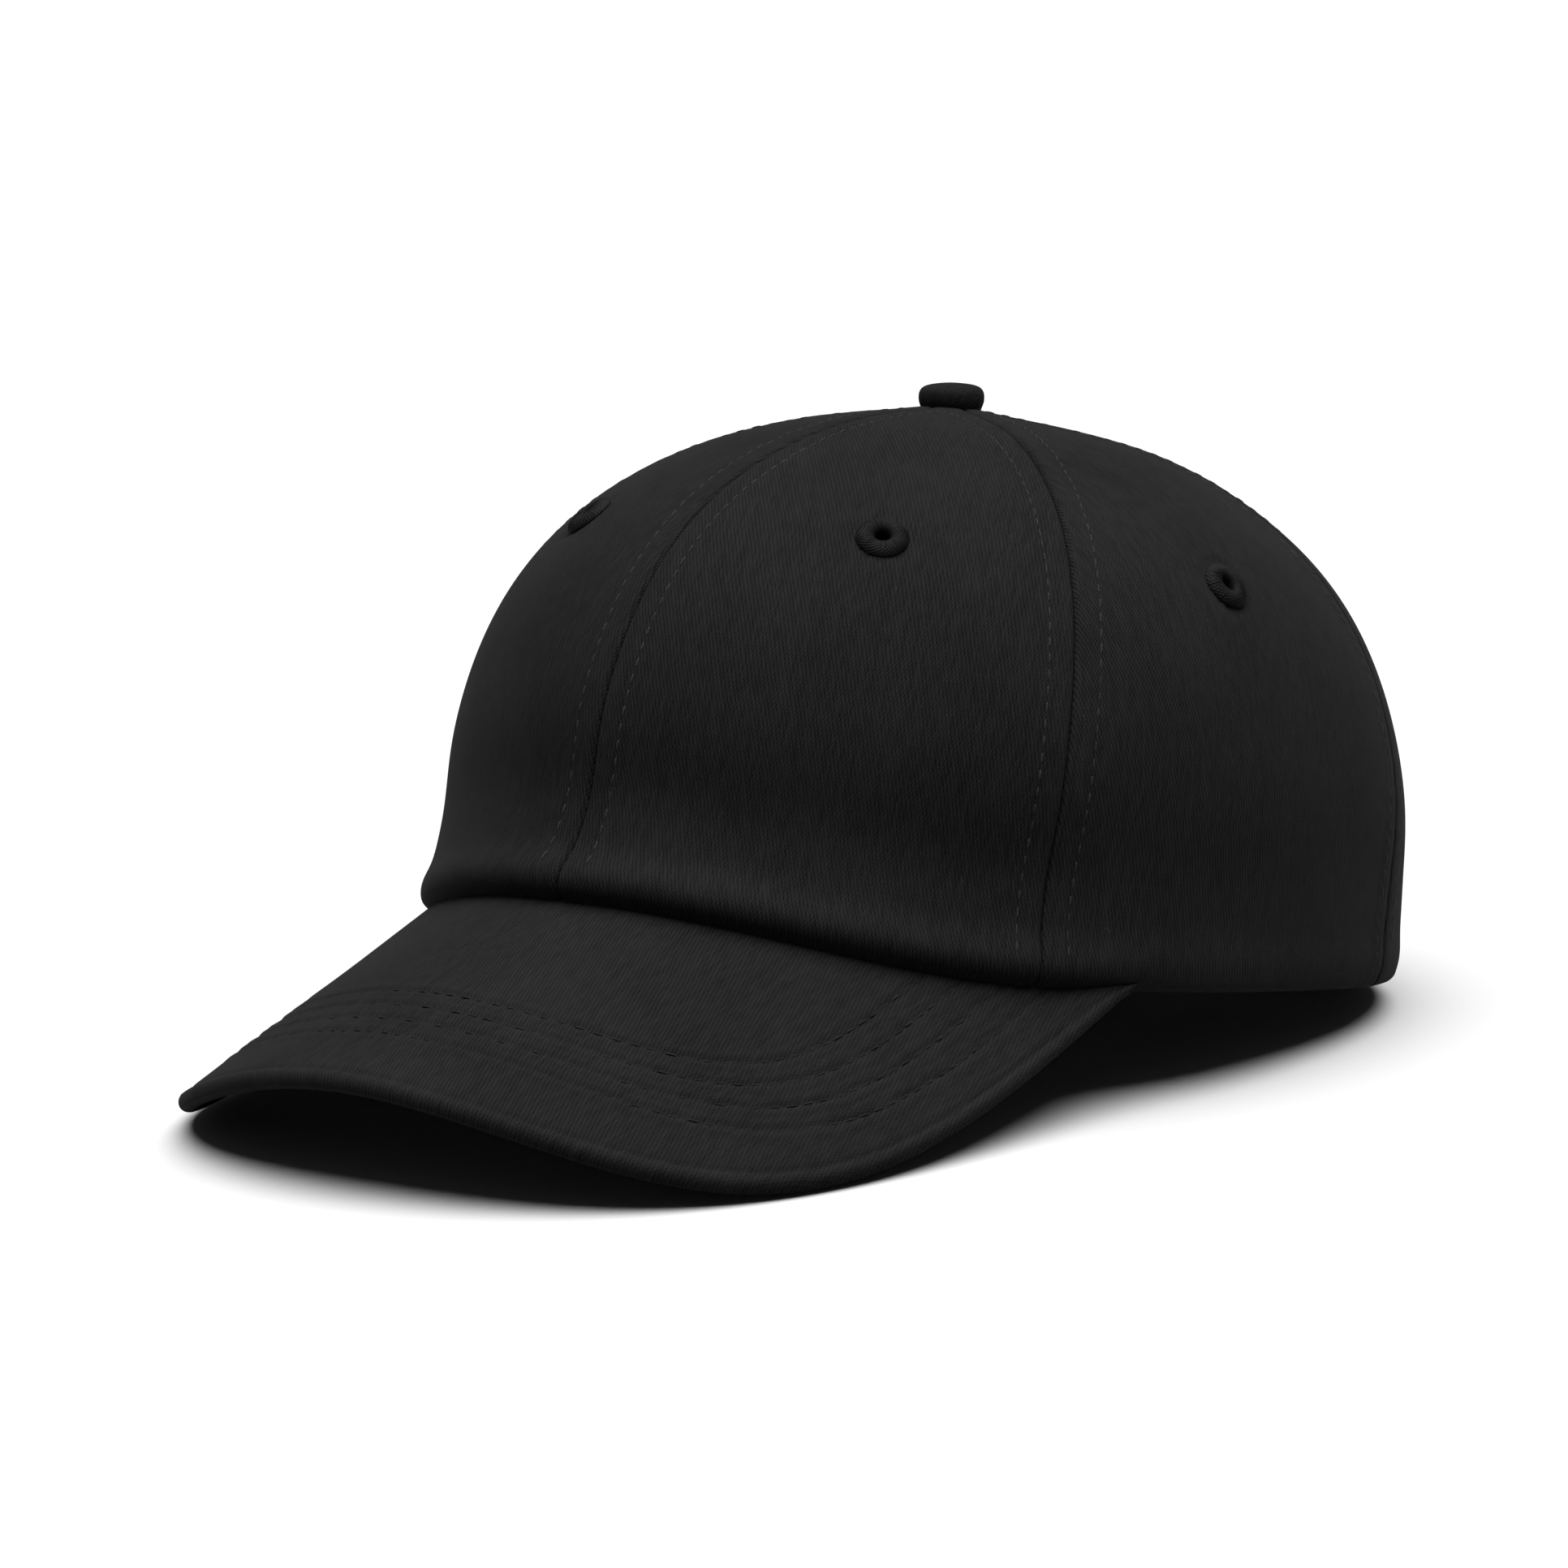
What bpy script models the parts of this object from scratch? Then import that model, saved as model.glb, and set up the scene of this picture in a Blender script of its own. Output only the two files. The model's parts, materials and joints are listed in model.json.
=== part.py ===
"""Six-panel baseball cap with a stiffened visor and a strap-and-buckle closure at the back.

Lengths are metres and angles degrees. The cap is built level: the origin is the middle of the
rim, -Y the front, +X the wearer's left and +Z up. It is then tipped back until it stands on the
two tips of its visor and the back of its rim, the way a cap stands on a table.
"""
import math

import bmesh
import bpy
from mathutils import Vector

# Rim seen from above: a superellipse, rounder in front and squarer behind
RIM_FRONT = 0.0999
RIM_BACK = 0.1005
RIM_SIDE = 0.0849
RIM_FRONT_POWER = 1.815
RIM_BACK_POWER = 2.55

# Crown: inner control points of the front, side and back meridians, each (radius, height) as
# a fraction of the rim radius and of the crown height
CROWN_HEIGHT = 0.0993
APEX_SHIFT = 0.0079
MERIDIAN_FRONT = ((0.928, 0.465), (1.014, 0.722), (0.513, 1.0))
MERIDIAN_SIDE = ((1.048, 0.327), (1.116, 0.912), (0.376, 1.0))
MERIDIAN_BACK = ((0.987, 0.171), (0.942, 0.782), (0.568, 1.0))

# Seams between the panels, as azimuths from the front
SIDE_SEAM_RIM = 53.9
SIDE_SEAM_APEX = 59.85
SIDE_SEAM_POWER = 0.71
REAR_SEAM = 120.3
BACK_SEAM = 180.0

# Visor: its top falls forward at the slope and arches down to each side
VISOR_TOP = 0.0049
VISOR_SLOPE = 27.3
VISOR_REACH = 0.0649
VISOR_END = 67.0
VISOR_SIDE_PULL = 0.635
ARCH_DROP = 0.0446
ARCH_SPAN = 0.085
ARCH_POWER = 1.963
VISOR_THICK = 0.0034
VISOR_THICK_END = 0.0020
VISOR_TUCK = 0.0025
VISOR_BOARD_INSET = 0.0022
VISOR_BOARD_END = 0.90

# Layers, measured inwards from the outside of the crown
GAP = 0.0003
PANEL_THICK = 0.0008
BUCKRAM_DEPTH = 0.0011
BUCKRAM_THICK = 0.0006
TAPE_DEPTH = 0.0022
TAPE_THICK = 0.0006
TAPE_WIDTH = 0.014
SWEATBAND_DEPTH = 0.0032
SWEATBAND_REAR_DEPTH = 0.0068
SWEATBAND_THICK = 0.0010
SWEATBAND_HEIGHT = 0.032
COVER_THICK = 0.0007

# Half-moon opening at the back, in azimuth and in rise along the meridian
OPENING_HALF_ANGLE = 22.6
OPENING_RISE = 0.335
BINDING_THICK = 0.0005
BINDING_OUTER = 0.006
BINDING_INNER = 0.005

# Strap: part of a shallow cone about an upright axis, so that it slides along itself
STRAP_AXIS_Y = 0.0113
STRAP_RADIUS = 0.0882
STRAP_LEAN = 0.02
STRAP_WIDTH = 0.018
STRAP_THICK = 0.0010
STRAP_MIDDLE = 0.013
STRAP_LEFT_ANGLE = 38.0
STRAP_TAIL_ANGLE = -41.0

# Buckle, set out from its pin: X along the strap, Y away from the head, Z up
PIN_ANGLE = -11.0
PIN_HEIGHT = 0.0019
PIN_RADIUS = 0.0007
PIN_HOLE_RADIUS = 0.00085
BARREL_RADIUS = 0.0013
FRAME_FRONT = 0.0032
FRAME_BACK = -0.0090
BAR_WIDTH = 0.0013
RAIL_INNER = 0.0094
RAIL_OUTER = 0.0104
RAIL_TOP = 0.0016
PLATE_OUTER = -0.0014
PLATE_INNER = -0.0022
LATCH_LENGTH = 0.0115
LATCH_HALF_WIDTH = 0.0086
TAB_WIDTH = 0.0164
TAB_LENGTH = 0.0230

# Button and eyelets
BUTTON_RADIUS = 0.0063
BUTTON_HEIGHT = 0.0050
BUTTON_LIFT = 0.0006
BUTTON_LEAN = 6.0
BUTTON_CLOTH = 0.0005
BUTTON_SHELL = 0.0004
RIVET_HEAD = 0.0028
RIVET_STEM = 0.0009
RIVET_FLANGE = 0.0040
EYELET_RADIUS = 0.0048
EYELET_BARREL = 0.0030
EYELET_BORE = 0.0013
EYELET_BARREL_DEPTH = 0.0021
EYELET_ROUNDING = 0.0011
FRONT_EYELET_RISE = 0.537
SIDE_EYELET = (83.8, 0.484)
REAR_EYELET = (150.5, 0.50)

APEX_HOLE_RISE = 0.988
SIDES = (("left", 1), ("right", -1))
COTTON_BLACK = (0.021, 0.021, 0.023)
STEEL = ((0.45, 0.45, 0.46), 0.4, 1.0)
BRASS = ((0.30, 0.24, 0.16), 0.35, 1.0)


def smooth_step(low, high, value):
    """0 below low, 1 above high and a smooth rise between them."""
    x = min(max((value - low) / (high - low), 0.0), 1.0)
    return x * x * (3 - 2 * x)


def mix(a, b, amount):
    """The value that lies the given amount of the way from a to b."""
    return a + (b - a) * amount


def path_at(stations, u):
    """Place on a path of evenly numbered stations; u runs from 0 to 1."""
    spot = u * (len(stations) - 1)
    index = min(int(spot), len(stations) - 2)
    return tuple(mix(a, b, spot - index) for a, b in zip(stations[index], stations[index + 1]))


# ---------------------------------------------------------------- the cap's surfaces

def around(front, side, back, azimuth):
    """Blend of a front, a side and a back value at an azimuth."""
    angle = math.radians(azimuth)
    mean = (front + back + 2 * side) / 4
    return mean + (front - back) / 2 * math.cos(angle) + (front + back - 2 * side) / 4 * math.cos(2 * angle)


def rim_radius(azimuth):
    """Distance from the middle of the rim to its outside."""
    cosine = math.cos(math.radians(azimuth))
    sine = math.sin(math.radians(azimuth))
    length = RIM_FRONT if cosine > 0 else RIM_BACK
    power = RIM_FRONT_POWER if cosine > 0 else RIM_BACK_POWER
    return (abs(cosine / length) ** power + abs(sine / RIM_SIDE) ** power) ** (-1 / power)


def visor_point(x, reach, depth=0.0):
    """Point of the visor, reach metres down its slope from the front of the rim."""
    slope = math.radians(VISOR_SLOPE)
    drop = ARCH_DROP * (abs(x) / ARCH_SPAN) ** ARCH_POWER
    steepness = ARCH_DROP * ARCH_POWER / ARCH_SPAN * (abs(x) / ARCH_SPAN) ** (ARCH_POWER - 1)
    across = Vector((math.copysign(steepness, x), 1.0)).normalized()
    x = x - across.x * depth
    fall = drop + across.y * depth
    y = -RIM_FRONT - reach * math.cos(slope) + fall * math.sin(slope)
    z = VISOR_TOP - reach * math.sin(slope) - fall * math.cos(slope)
    return Vector((x, y, z))


def rim_reach(x):
    """Reach at which the crown's outside stands on the visor."""
    slope = math.radians(VISOR_SLOPE)
    drop = ARCH_DROP * (abs(x) / ARCH_SPAN) ** ARCH_POWER
    rim_y = -RIM_FRONT * (1 - min(abs(x) / RIM_SIDE, 1.0) ** RIM_FRONT_POWER) ** (1 / RIM_FRONT_POWER)
    return (-RIM_FRONT + drop * math.sin(slope) - rim_y) / math.cos(slope)


VISOR_HALF_WIDTH = rim_radius(VISOR_END) * math.sin(math.radians(VISOR_END))
RIM_LEVEL = visor_point(VISOR_HALF_WIDTH, rim_reach(VISOR_HALF_WIDTH)).z


def rim_height(azimuth):
    """Height of the crown's lower edge: it follows the visor, then stays level."""
    if math.cos(math.radians(azimuth)) <= 0:
        return RIM_LEVEL
    x = min(abs(rim_radius(azimuth) * math.sin(math.radians(azimuth))), VISOR_HALF_WIDTH)
    return visor_point(x, rim_reach(x)).z


def crown_surface(azimuth, rise):
    """Point of the crown's outside; rise runs from 0 at the rim to 1 at the apex."""
    fall = 1 - rise
    weights = (4 * rise * fall ** 3, 6 * rise ** 2 * fall ** 2, 4 * rise ** 3 * fall)
    radius = fall ** 4
    height = rise ** 4
    for weight, front, side, back in zip(weights, MERIDIAN_FRONT, MERIDIAN_SIDE, MERIDIAN_BACK):
        radius += weight * around(front[0], side[0], back[0], azimuth)
        height += weight * around(front[1], side[1], back[1], azimuth)
    radius *= rim_radius(azimuth)
    base = rim_height(azimuth)
    angle = math.radians(azimuth)
    y = -radius * math.cos(angle) + APEX_SHIFT * height
    return Vector((radius * math.sin(angle), y, base + (CROWN_HEIGHT - base) * height))


def crown_normal(azimuth, rise):
    """Outward normal of the crown."""
    step = 0.01
    across = crown_surface(azimuth + step, rise) - crown_surface(azimuth - step, rise)
    up = crown_surface(azimuth, rise + step / 10) - crown_surface(azimuth, rise - step / 10)
    return across.cross(up).normalized()


def crown_point(azimuth, rise, depth=0.0):
    """Point at a depth under the crown's outside; the lower edge stays level through its depth."""
    outside = crown_surface(azimuth, rise)
    point = outside - crown_normal(azimuth, rise) * depth
    if rise == 0:
        point.z = outside.z
    return point


def rise_at_height(azimuth, height):
    """Rise at which the crown is a given height above its lower edge."""
    low, high = 0.0, 0.9
    base = crown_surface(azimuth, 0.0).z
    for _ in range(30):
        middle = (low + high) / 2
        if crown_surface(azimuth, middle).z - base < height:
            low = middle
        else:
            high = middle
    return low


def side_seam(rise):
    """Azimuth of the seam between a front and a side panel."""
    return SIDE_SEAM_APEX + (SIDE_SEAM_RIM - SIDE_SEAM_APEX) * (1 - rise) ** SIDE_SEAM_POWER


def back_edge(rise):
    """Azimuth where a rear panel ends: at the opening below, at the back seam above."""
    if rise >= OPENING_RISE:
        return BACK_SEAM
    return BACK_SEAM - OPENING_HALF_ANGLE * math.sqrt(1 - (rise / OPENING_RISE) ** 2)


def seam_gap(azimuth, rise):
    """Azimuth step of half a gap at this place on the crown."""
    radius = crown_surface(azimuth, rise) - Vector((0, APEX_SHIFT * rise, 0))
    return math.degrees(GAP / 2 / max(radius.xy.length, GAP))


def visor_outline(u):
    """(x, reach) on the visor's outer edge; u runs from -1 to 1 across the visor."""
    v = abs(u)
    end_reach = rim_reach(VISOR_HALF_WIDTH)
    side_reach = mix(end_reach, VISOR_REACH, VISOR_SIDE_PULL)
    front = (1 - v) ** 3 + 3 * v * (1 - v) ** 2
    side = 3 * v * v * (1 - v)
    x = VISOR_HALF_WIDTH * (1 - (1 - v) ** 3)
    return Vector((math.copysign(x, u), front * VISOR_REACH + side * side_reach + v ** 3 * end_reach))


def visor_inner(u):
    """(x, reach) on the visor's inner edge, tucked under the crown."""
    x = VISOR_HALF_WIDTH * u
    return Vector((x, rim_reach(x) - VISOR_TUCK))


def visor_thickness(u):
    """Thickness of the whole visor, thinner at its two ends."""
    return mix(VISOR_THICK, VISOR_THICK_END, smooth_step(0.88, 1.0, abs(u)))


def visor_place(u, v, inset, depth):
    """Visor point; v runs from the outer edge, moved in by inset, to the inner edge."""
    outer = visor_outline(u)
    inner = visor_inner(u)
    outer += (inner - outer).normalized() * inset
    spot = outer.lerp(inner, v)
    return visor_point(spot.x, spot.y, depth)


def strap_point(angle, height, outward):
    """Point near the strap: angle from the back, height over the rim, distance from its outside."""
    radius = STRAP_RADIUS + outward - STRAP_LEAN * (height - STRAP_MIDDLE)
    turn = math.radians(angle)
    return Vector((radius * math.sin(turn), STRAP_AXIS_Y + radius * math.cos(turn), RIM_LEVEL + height))


# ---------------------------------------------------------------- building blocks

def clear_scene():
    """Remove every object from the scene."""
    for item in list(bpy.data.objects):
        bpy.data.objects.remove(item, do_unlink=True)


def collection(name):
    """A new collection in the scene."""
    group = bpy.data.collections.new(name)
    bpy.context.scene.collection.children.link(group)
    return group


clear_scene()
PARTS = collection("baseball_cap")
CUTTERS = collection("cutters")
GUIDES = collection("guides")


def guide(name, location=(0, 0, 0), lean=0.0, turn=0.0, parent=None):
    """An empty that other objects hang on; it leans about X, then turns about Z."""
    empty = bpy.data.objects.new(name, None)
    empty.location = location
    empty.rotation_euler = (lean, 0, math.radians(turn))
    empty.parent = parent
    empty.empty_display_size = 0.02
    GUIDES.objects.link(empty)
    return empty


CAP_FRAME = guide("cap_frame")


def finish(name, colour, roughness=0.9, metallic=0.0):
    """A Principled material."""
    material = bpy.data.materials.new(name)
    material.use_nodes = True
    shader = material.node_tree.nodes["Principled BSDF"]
    shader.inputs["Base Color"].default_value = (*colour, 1.0)
    shader.inputs["Roughness"].default_value = roughness
    shader.inputs["Metallic"].default_value = metallic
    return material


def add_part(name, mesh, look, parent=CAP_FRAME, group=PARTS):
    """An object from a bmesh, with smooth round faces and its own material."""
    data = bpy.data.meshes.new(name)
    mesh.to_mesh(data)
    mesh.free()
    data.shade_smooth()
    data.set_sharp_from_angle(angle=math.radians(40))
    if look:
        data.materials.append(finish(name, *look))
    item = bpy.data.objects.new(name, data)
    item.parent = parent
    group.objects.link(item)
    return item


def block(name, look, cells, place, parent=CAP_FRAME):
    """A closed block of cells (u, v), one cell thick (w), with each corner moved by place(u, v, w)."""
    mesh = bmesh.new()
    bmesh.ops.create_grid(mesh, x_segments=cells[0], y_segments=cells[1], size=0.5)
    extruded = bmesh.ops.extrude_face_region(mesh, geom=list(mesh.faces))
    top = [item for item in extruded["geom"] if isinstance(item, bmesh.types.BMVert)]
    bmesh.ops.translate(mesh, verts=top, vec=(0, 0, 1))
    for vertex in mesh.verts:
        u = round((vertex.co.x + 0.5) * cells[0]) / cells[0]
        v = round((vertex.co.y + 0.5) * cells[1]) / cells[1]
        vertex.co = place(u, v, vertex.co.z)
    bmesh.ops.recalc_face_normals(mesh, faces=mesh.faces)
    if mesh.calc_volume(signed=True) < 0:
        bmesh.ops.reverse_faces(mesh, faces=mesh.faces)
    return add_part(name, mesh, look, parent)


def turned(name, look, profile, steps, parent=CAP_FRAME, closed=False):
    """A turned piece: the profile (radius, height) goes round the Z axis."""
    mesh = bmesh.new()
    corners = [mesh.verts.new((radius, 0, height)) for radius, height in profile]
    for first, second in zip(corners, corners[1:]):
        mesh.edges.new((first, second))
    if closed:
        mesh.edges.new((corners[-1], corners[0]))
    item = add_part(name, mesh, look, parent)
    screw = item.modifiers.new("turn", "SCREW")
    screw.steps = steps
    screw.render_steps = steps
    screw.use_merge_vertices = True
    screw.merge_threshold = 0.00001
    return item


def box(name, look, low, high, parent, group=PARTS):
    """A box between two corners."""
    mesh = bmesh.new()
    bmesh.ops.create_cube(mesh, size=1.0)
    for vertex in mesh.verts:
        vertex.co = [mix(low[i], high[i], vertex.co[i] + 0.5) for i in range(3)]
    return add_part(name, mesh, look, parent, group)


def cutter(item):
    """Turn an object into a construction solid."""
    item.hide_render = True
    item.display_type = "WIRE"
    return item


def box_cutter(name, low, high, parent):
    """A box that cuts, or is joined to, another solid."""
    return cutter(box(name, None, low, high, parent, CUTTERS))


def round_cutter(name, radius, length, parent=CAP_FRAME, steps=20):
    """A cylinder about Z that cuts, or is joined to, another solid."""
    mesh = bmesh.new()
    bmesh.ops.create_cone(mesh, cap_ends=True, segments=steps, radius1=radius, radius2=radius, depth=length)
    return cutter(add_part(name, mesh, None, parent, CUTTERS))


def combine(item, tool, operation="DIFFERENCE"):
    """Cut a solid with a tool, or join them."""
    step = item.modifiers.new(tool.name, "BOOLEAN")
    step.operation = operation
    step.solver = "EXACT"
    step.object = tool


def stand_on_crown(item, azimuth, rise):
    """Set an object on the crown's outside with its Z axis along the outward normal."""
    item.location = crown_surface(azimuth, rise)
    item.rotation_euler = crown_normal(azimuth, rise).to_track_quat("Z", "Y").to_euler()


# ---------------------------------------------------------------- crown

def first_rise(azimuth, room):
    """Rise at which a layer starts to leave room over the visor; 0 beyond the visor's ends."""
    return rise_at_height(azimuth, room * (1 - smooth_step(VISOR_END + 4, VISOR_END + 13, abs(azimuth))))


def crown_layer(name, look, cells, span, rises, depth, thick, room):
    """One layer of a panel between the azimuths span(rise) and over the given rises."""
    def place(u, v, w):
        rise = rises(v)
        start, end = span(rise)
        low, high = min(start, end), max(start, end)
        azimuth = mix(low + seam_gap(low, rise), high - seam_gap(high, rise), u)
        if v == 0:
            rise = first_rise(azimuth, room)
        return crown_point(azimuth, rise, depth + thick * (1 - w))
    return block(name, look, cells, place)


def plain_rises(v):
    """Rows spread evenly from the rim to the hole at the apex."""
    return APEX_HOLE_RISE * v


def rear_rises(v, rows_beside_opening=0.45):
    """Rows that follow the edge of the opening, then run up to the apex."""
    if v < rows_beside_opening:
        return OPENING_RISE * math.sin(math.pi / 2 * v / rows_beside_opening)
    return mix(OPENING_RISE, APEX_HOLE_RISE, (v - rows_beside_opening) / (1 - rows_beside_opening))


def crown_panels():
    """Six panels, cut from the same cloth; returns them by name."""
    look = (COTTON_BLACK, 0.92)
    panels = {}
    for side, sign in SIDES:
        spans = {
            "front": lambda rise, s=sign: (0.0, s * side_seam(rise)),
            "side": lambda rise, s=sign: (s * side_seam(rise), s * REAR_SEAM),
            "rear": lambda rise, s=sign: (s * REAR_SEAM, s * back_edge(rise)),
        }
        for place, span in spans.items():
            rises = rear_rises if place == "rear" else plain_rises
            cells = (10, 22) if place == "rear" else (7, 14)
            name = f"crown_panel_{place}_{side}"
            panels[name] = crown_layer(name, look, cells, span, rises, 0.0, PANEL_THICK, 0.0016)
    return panels


def buckram():
    """Stiff mesh behind each front panel."""
    look = ((0.035, 0.035, 0.037), 0.8)
    linings = {}
    for side, sign in SIDES:
        name = f"front_buckram_{side}"
        span = lambda rise, s=sign: (0.0, s * side_seam(rise))
        rises = lambda v: plain_rises(v * 13 / 14)
        linings[name] = crown_layer(name, look, (7, 13), span, rises, BUCKRAM_DEPTH, BUCKRAM_THICK, 0.0026)
    return linings


def seam_tape(name, seam, low, cells=12):
    """Tape over the inside of one seam, narrowing towards the apex."""
    def place(u, v, w):
        rise = mix(low, 0.955, v)
        azimuth = seam(rise)
        radius = (crown_surface(azimuth, rise) - Vector((0, APEX_SHIFT * rise, 0))).xy.length
        half = min(math.degrees(TAPE_WIDTH / 2 / radius), 24.0)
        azimuth += mix(-half, half, u)
        if v == 0 and low == 0:
            rise = first_rise(azimuth, 0.0036)
        return crown_point(azimuth, rise, TAPE_DEPTH + TAPE_THICK * (1 - w))
    return block(name, ((0.016, 0.016, 0.018), 0.95), (2, cells), place)


def seam_tapes():
    """One tape for each of the six seams."""
    seam_tape("seam_tape_front", lambda rise: 0.0, 0.0)
    for side, sign in SIDES:
        seam_tape(f"seam_tape_side_{side}", lambda rise, s=sign: s * side_seam(rise), 0.0)
        seam_tape(f"seam_tape_rear_{side}", lambda rise, s=sign: s * REAR_SEAM, 0.0)
    seam_tape("seam_tape_back", lambda rise: BACK_SEAM, OPENING_RISE + 0.02, 8)


def sweatband_depth(azimuth):
    """The sweatband stands further in at the back, where the strap lies behind it."""
    return mix(SWEATBAND_DEPTH, SWEATBAND_REAR_DEPTH, smooth_step(122, 138, abs(azimuth)))


def sweatband():
    """Band round the inside of the rim, open at the back."""
    end = BACK_SEAM - OPENING_HALF_ANGLE - 1.0

    def place(u, v, w):
        azimuth = mix(-end, end, u)
        rise = rise_at_height(azimuth, SWEATBAND_HEIGHT) * v
        return crown_point(azimuth, rise, sweatband_depth(azimuth) + SWEATBAND_THICK * (1 - w))
    return block("sweatband", ((0.018, 0.018, 0.02), 0.95), (48, 3), place)


def care_label():
    """Blank woven label on the inside of the sweatband."""
    middle, half_width, low, high = 98.0, 9.0, 0.008, 0.026

    def place(u, v, w):
        azimuth = middle + mix(-half_width, half_width, u)
        rise = rise_at_height(azimuth, mix(low, high, v))
        depth = SWEATBAND_DEPTH + SWEATBAND_THICK + GAP + 0.0004 * (1 - w)
        return crown_point(azimuth, rise, depth)
    return block("care_label", ((0.55, 0.54, 0.52), 0.8), (4, 2), place)


def arch_binding():
    """Tape folded over the edge of the opening, outside and inside."""
    edge = GAP
    inside = -(PANEL_THICK + 0.0004)
    # (distance from the panel's edge, distance out from the crown) on the cloth's two faces
    near = ((BINDING_OUTER, GAP), (-edge, GAP), (-edge, inside), (BINDING_INNER, inside))
    t = BINDING_THICK
    far = ((BINDING_OUTER, GAP + t), (-edge - t, GAP + t),
           (-edge - t, inside - t), (BINDING_INNER, inside - t))
    half_width = RIM_BACK * math.radians(OPENING_HALF_ANGLE)

    def place(u, v, w):
        spread, outward = (far if w > 0.5 else near)[round(v * 3)]
        scale = 1 + spread / half_width
        angle = math.radians(mix(2.0, 178.0, u))
        azimuth = BACK_SEAM + OPENING_HALF_ANGLE * scale * math.cos(angle)
        return crown_point(azimuth, OPENING_RISE * scale * math.sin(angle), -outward)
    return block("arch_binding", (COTTON_BLACK, 0.92), (32, 3), place)


# ---------------------------------------------------------------- visor

def visor():
    """A stiff board between two cloth covers, whose edges turn towards each other round it."""
    cells = (34, 5)
    turned_row = 1 / cells[1]

    def cover(u, v, w, top):
        side = 2 * u - 1
        thick = visor_thickness(side)
        middle = thick / 2 - GAP / 2
        inset = COVER_THICK * (1 - w)
        if v == 0:
            depth, along = middle, 0.0
        else:
            depth, along = inset, (v - turned_row) / (1 - turned_row)
        return visor_place(side, along, inset, depth if top else thick - depth)

    def board(u, v, w):
        side = VISOR_BOARD_END * (2 * u - 1)
        low = COVER_THICK + GAP
        return visor_place(side, v, VISOR_BOARD_INSET, mix(VISOR_THICK - low, low, w))

    block("visor_cover_top", (COTTON_BLACK, 0.92), cells, lambda u, v, w: cover(u, v, w, True))
    block("visor_cover_bottom", (COTTON_BLACK, 0.92), cells, lambda u, v, w: cover(u, v, w, False))
    block("visor_board", ((0.5, 0.5, 0.48), 0.5), (30, 3), board)


# ---------------------------------------------------------------- button and eyelets

def dome(radius, top, bottom, thick, steps=5):
    """Profile of a cup that opens downwards: over its outside, then back under its inside."""
    def arc(r, height, base):
        quarter = [math.pi / 2 * i / steps for i in range(steps + 1)]
        crest = base + (height - base) * 0.42
        return [(r * math.sin(a) ** 0.75, crest + (height - crest) * math.cos(a)) for a in quarter]
    outside = arc(radius, top, bottom) + [(radius * 0.93, bottom)]
    inside = [(radius * 0.93 - thick, bottom)] + arc(radius - thick, top - thick, bottom)[::-1]
    return outside + inside


def button():
    """Cloth-covered metal button on a pin through the meeting point of the panels."""
    foot = crown_surface(0.0, 1.0) + Vector((0, 0, BUTTON_LIFT))
    apex = guide("button_axis", foot, math.radians(BUTTON_LEAN), parent=CAP_FRAME)
    cloth = BUTTON_CLOTH
    turned("button_cover", (COTTON_BLACK, 0.92), dome(BUTTON_RADIUS, BUTTON_HEIGHT, 0.0004, cloth), 20, apex)
    shell = dome(BUTTON_RADIUS - cloth - GAP, BUTTON_HEIGHT - cloth - GAP, 0.0006, BUTTON_SHELL)
    turned("button_shell", STEEL, shell, 20, apex)
    head_top = BUTTON_HEIGHT - 0.0016
    head_low = head_top - 0.0006
    flange = -0.0040
    flange_low = flange - 0.0005
    pin = (
        (0.0, head_top), (RIVET_HEAD, head_top), (RIVET_HEAD, head_low), (RIVET_STEM, head_low),
        (RIVET_STEM, flange), (RIVET_FLANGE, flange), (RIVET_FLANGE, flange_low), (0.0, flange_low),
    )
    turned("button_pin", STEEL, pin, 16, apex)


def eyelet_profile():
    """Stitched ring: a rounded rim over the cloth and a barrel through it."""
    middle = (EYELET_RADIUS + EYELET_BORE) / 2
    half = (EYELET_RADIUS - EYELET_BORE) / 2
    arc = [math.pi * i / 6 for i in range(7)]
    over = [(middle - half * math.cos(a), 2 * GAP + EYELET_ROUNDING * math.sin(a)) for a in arc]
    end = -EYELET_BARREL_DEPTH
    return over + [(EYELET_RADIUS, GAP), (EYELET_BARREL, GAP), (EYELET_BARREL, end), (EYELET_BORE, end)]


def eyelets(panels, linings):
    """One eyelet in each panel, in a hole through the panel and what lies behind it."""
    front = (side_seam(FRONT_EYELET_RISE) / 2, FRONT_EYELET_RISE)
    spots = {"front": front, "side": SIDE_EYELET, "rear": REAR_EYELET}
    for side, sign in SIDES:
        for place, (azimuth, rise) in spots.items():
            name = f"eyelet_{place}_{side}"
            ring = turned(name, (COTTON_BLACK, 0.85), eyelet_profile(), 16, closed=True)
            hole = round_cutter(f"{name}_hole", EYELET_BARREL + GAP, 0.012)
            for item in (ring, hole):
                stand_on_crown(item, sign * azimuth, rise)
            combine(panels[f"crown_panel_{place}_{side}"], hole)
            if place == "front":
                combine(linings[f"front_buckram_{side}"], hole)


# ---------------------------------------------------------------- closure

def strap():
    """Strap from inside the left rear panel, across the opening and through the buckle."""
    axis = guide("strap_axis", (0, STRAP_AXIS_Y, 0), parent=CAP_FRAME)
    low = STRAP_MIDDLE - STRAP_WIDTH / 2

    def place(u, v, w):
        angle = mix(STRAP_LEFT_ANGLE, STRAP_TAIL_ANGLE, u)
        point = strap_point(angle, low + STRAP_WIDTH * v, STRAP_THICK * (w - 1))
        return point - axis.location
    return block("strap", (COTTON_BLACK, 0.92), (28, 2), place, axis)


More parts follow.
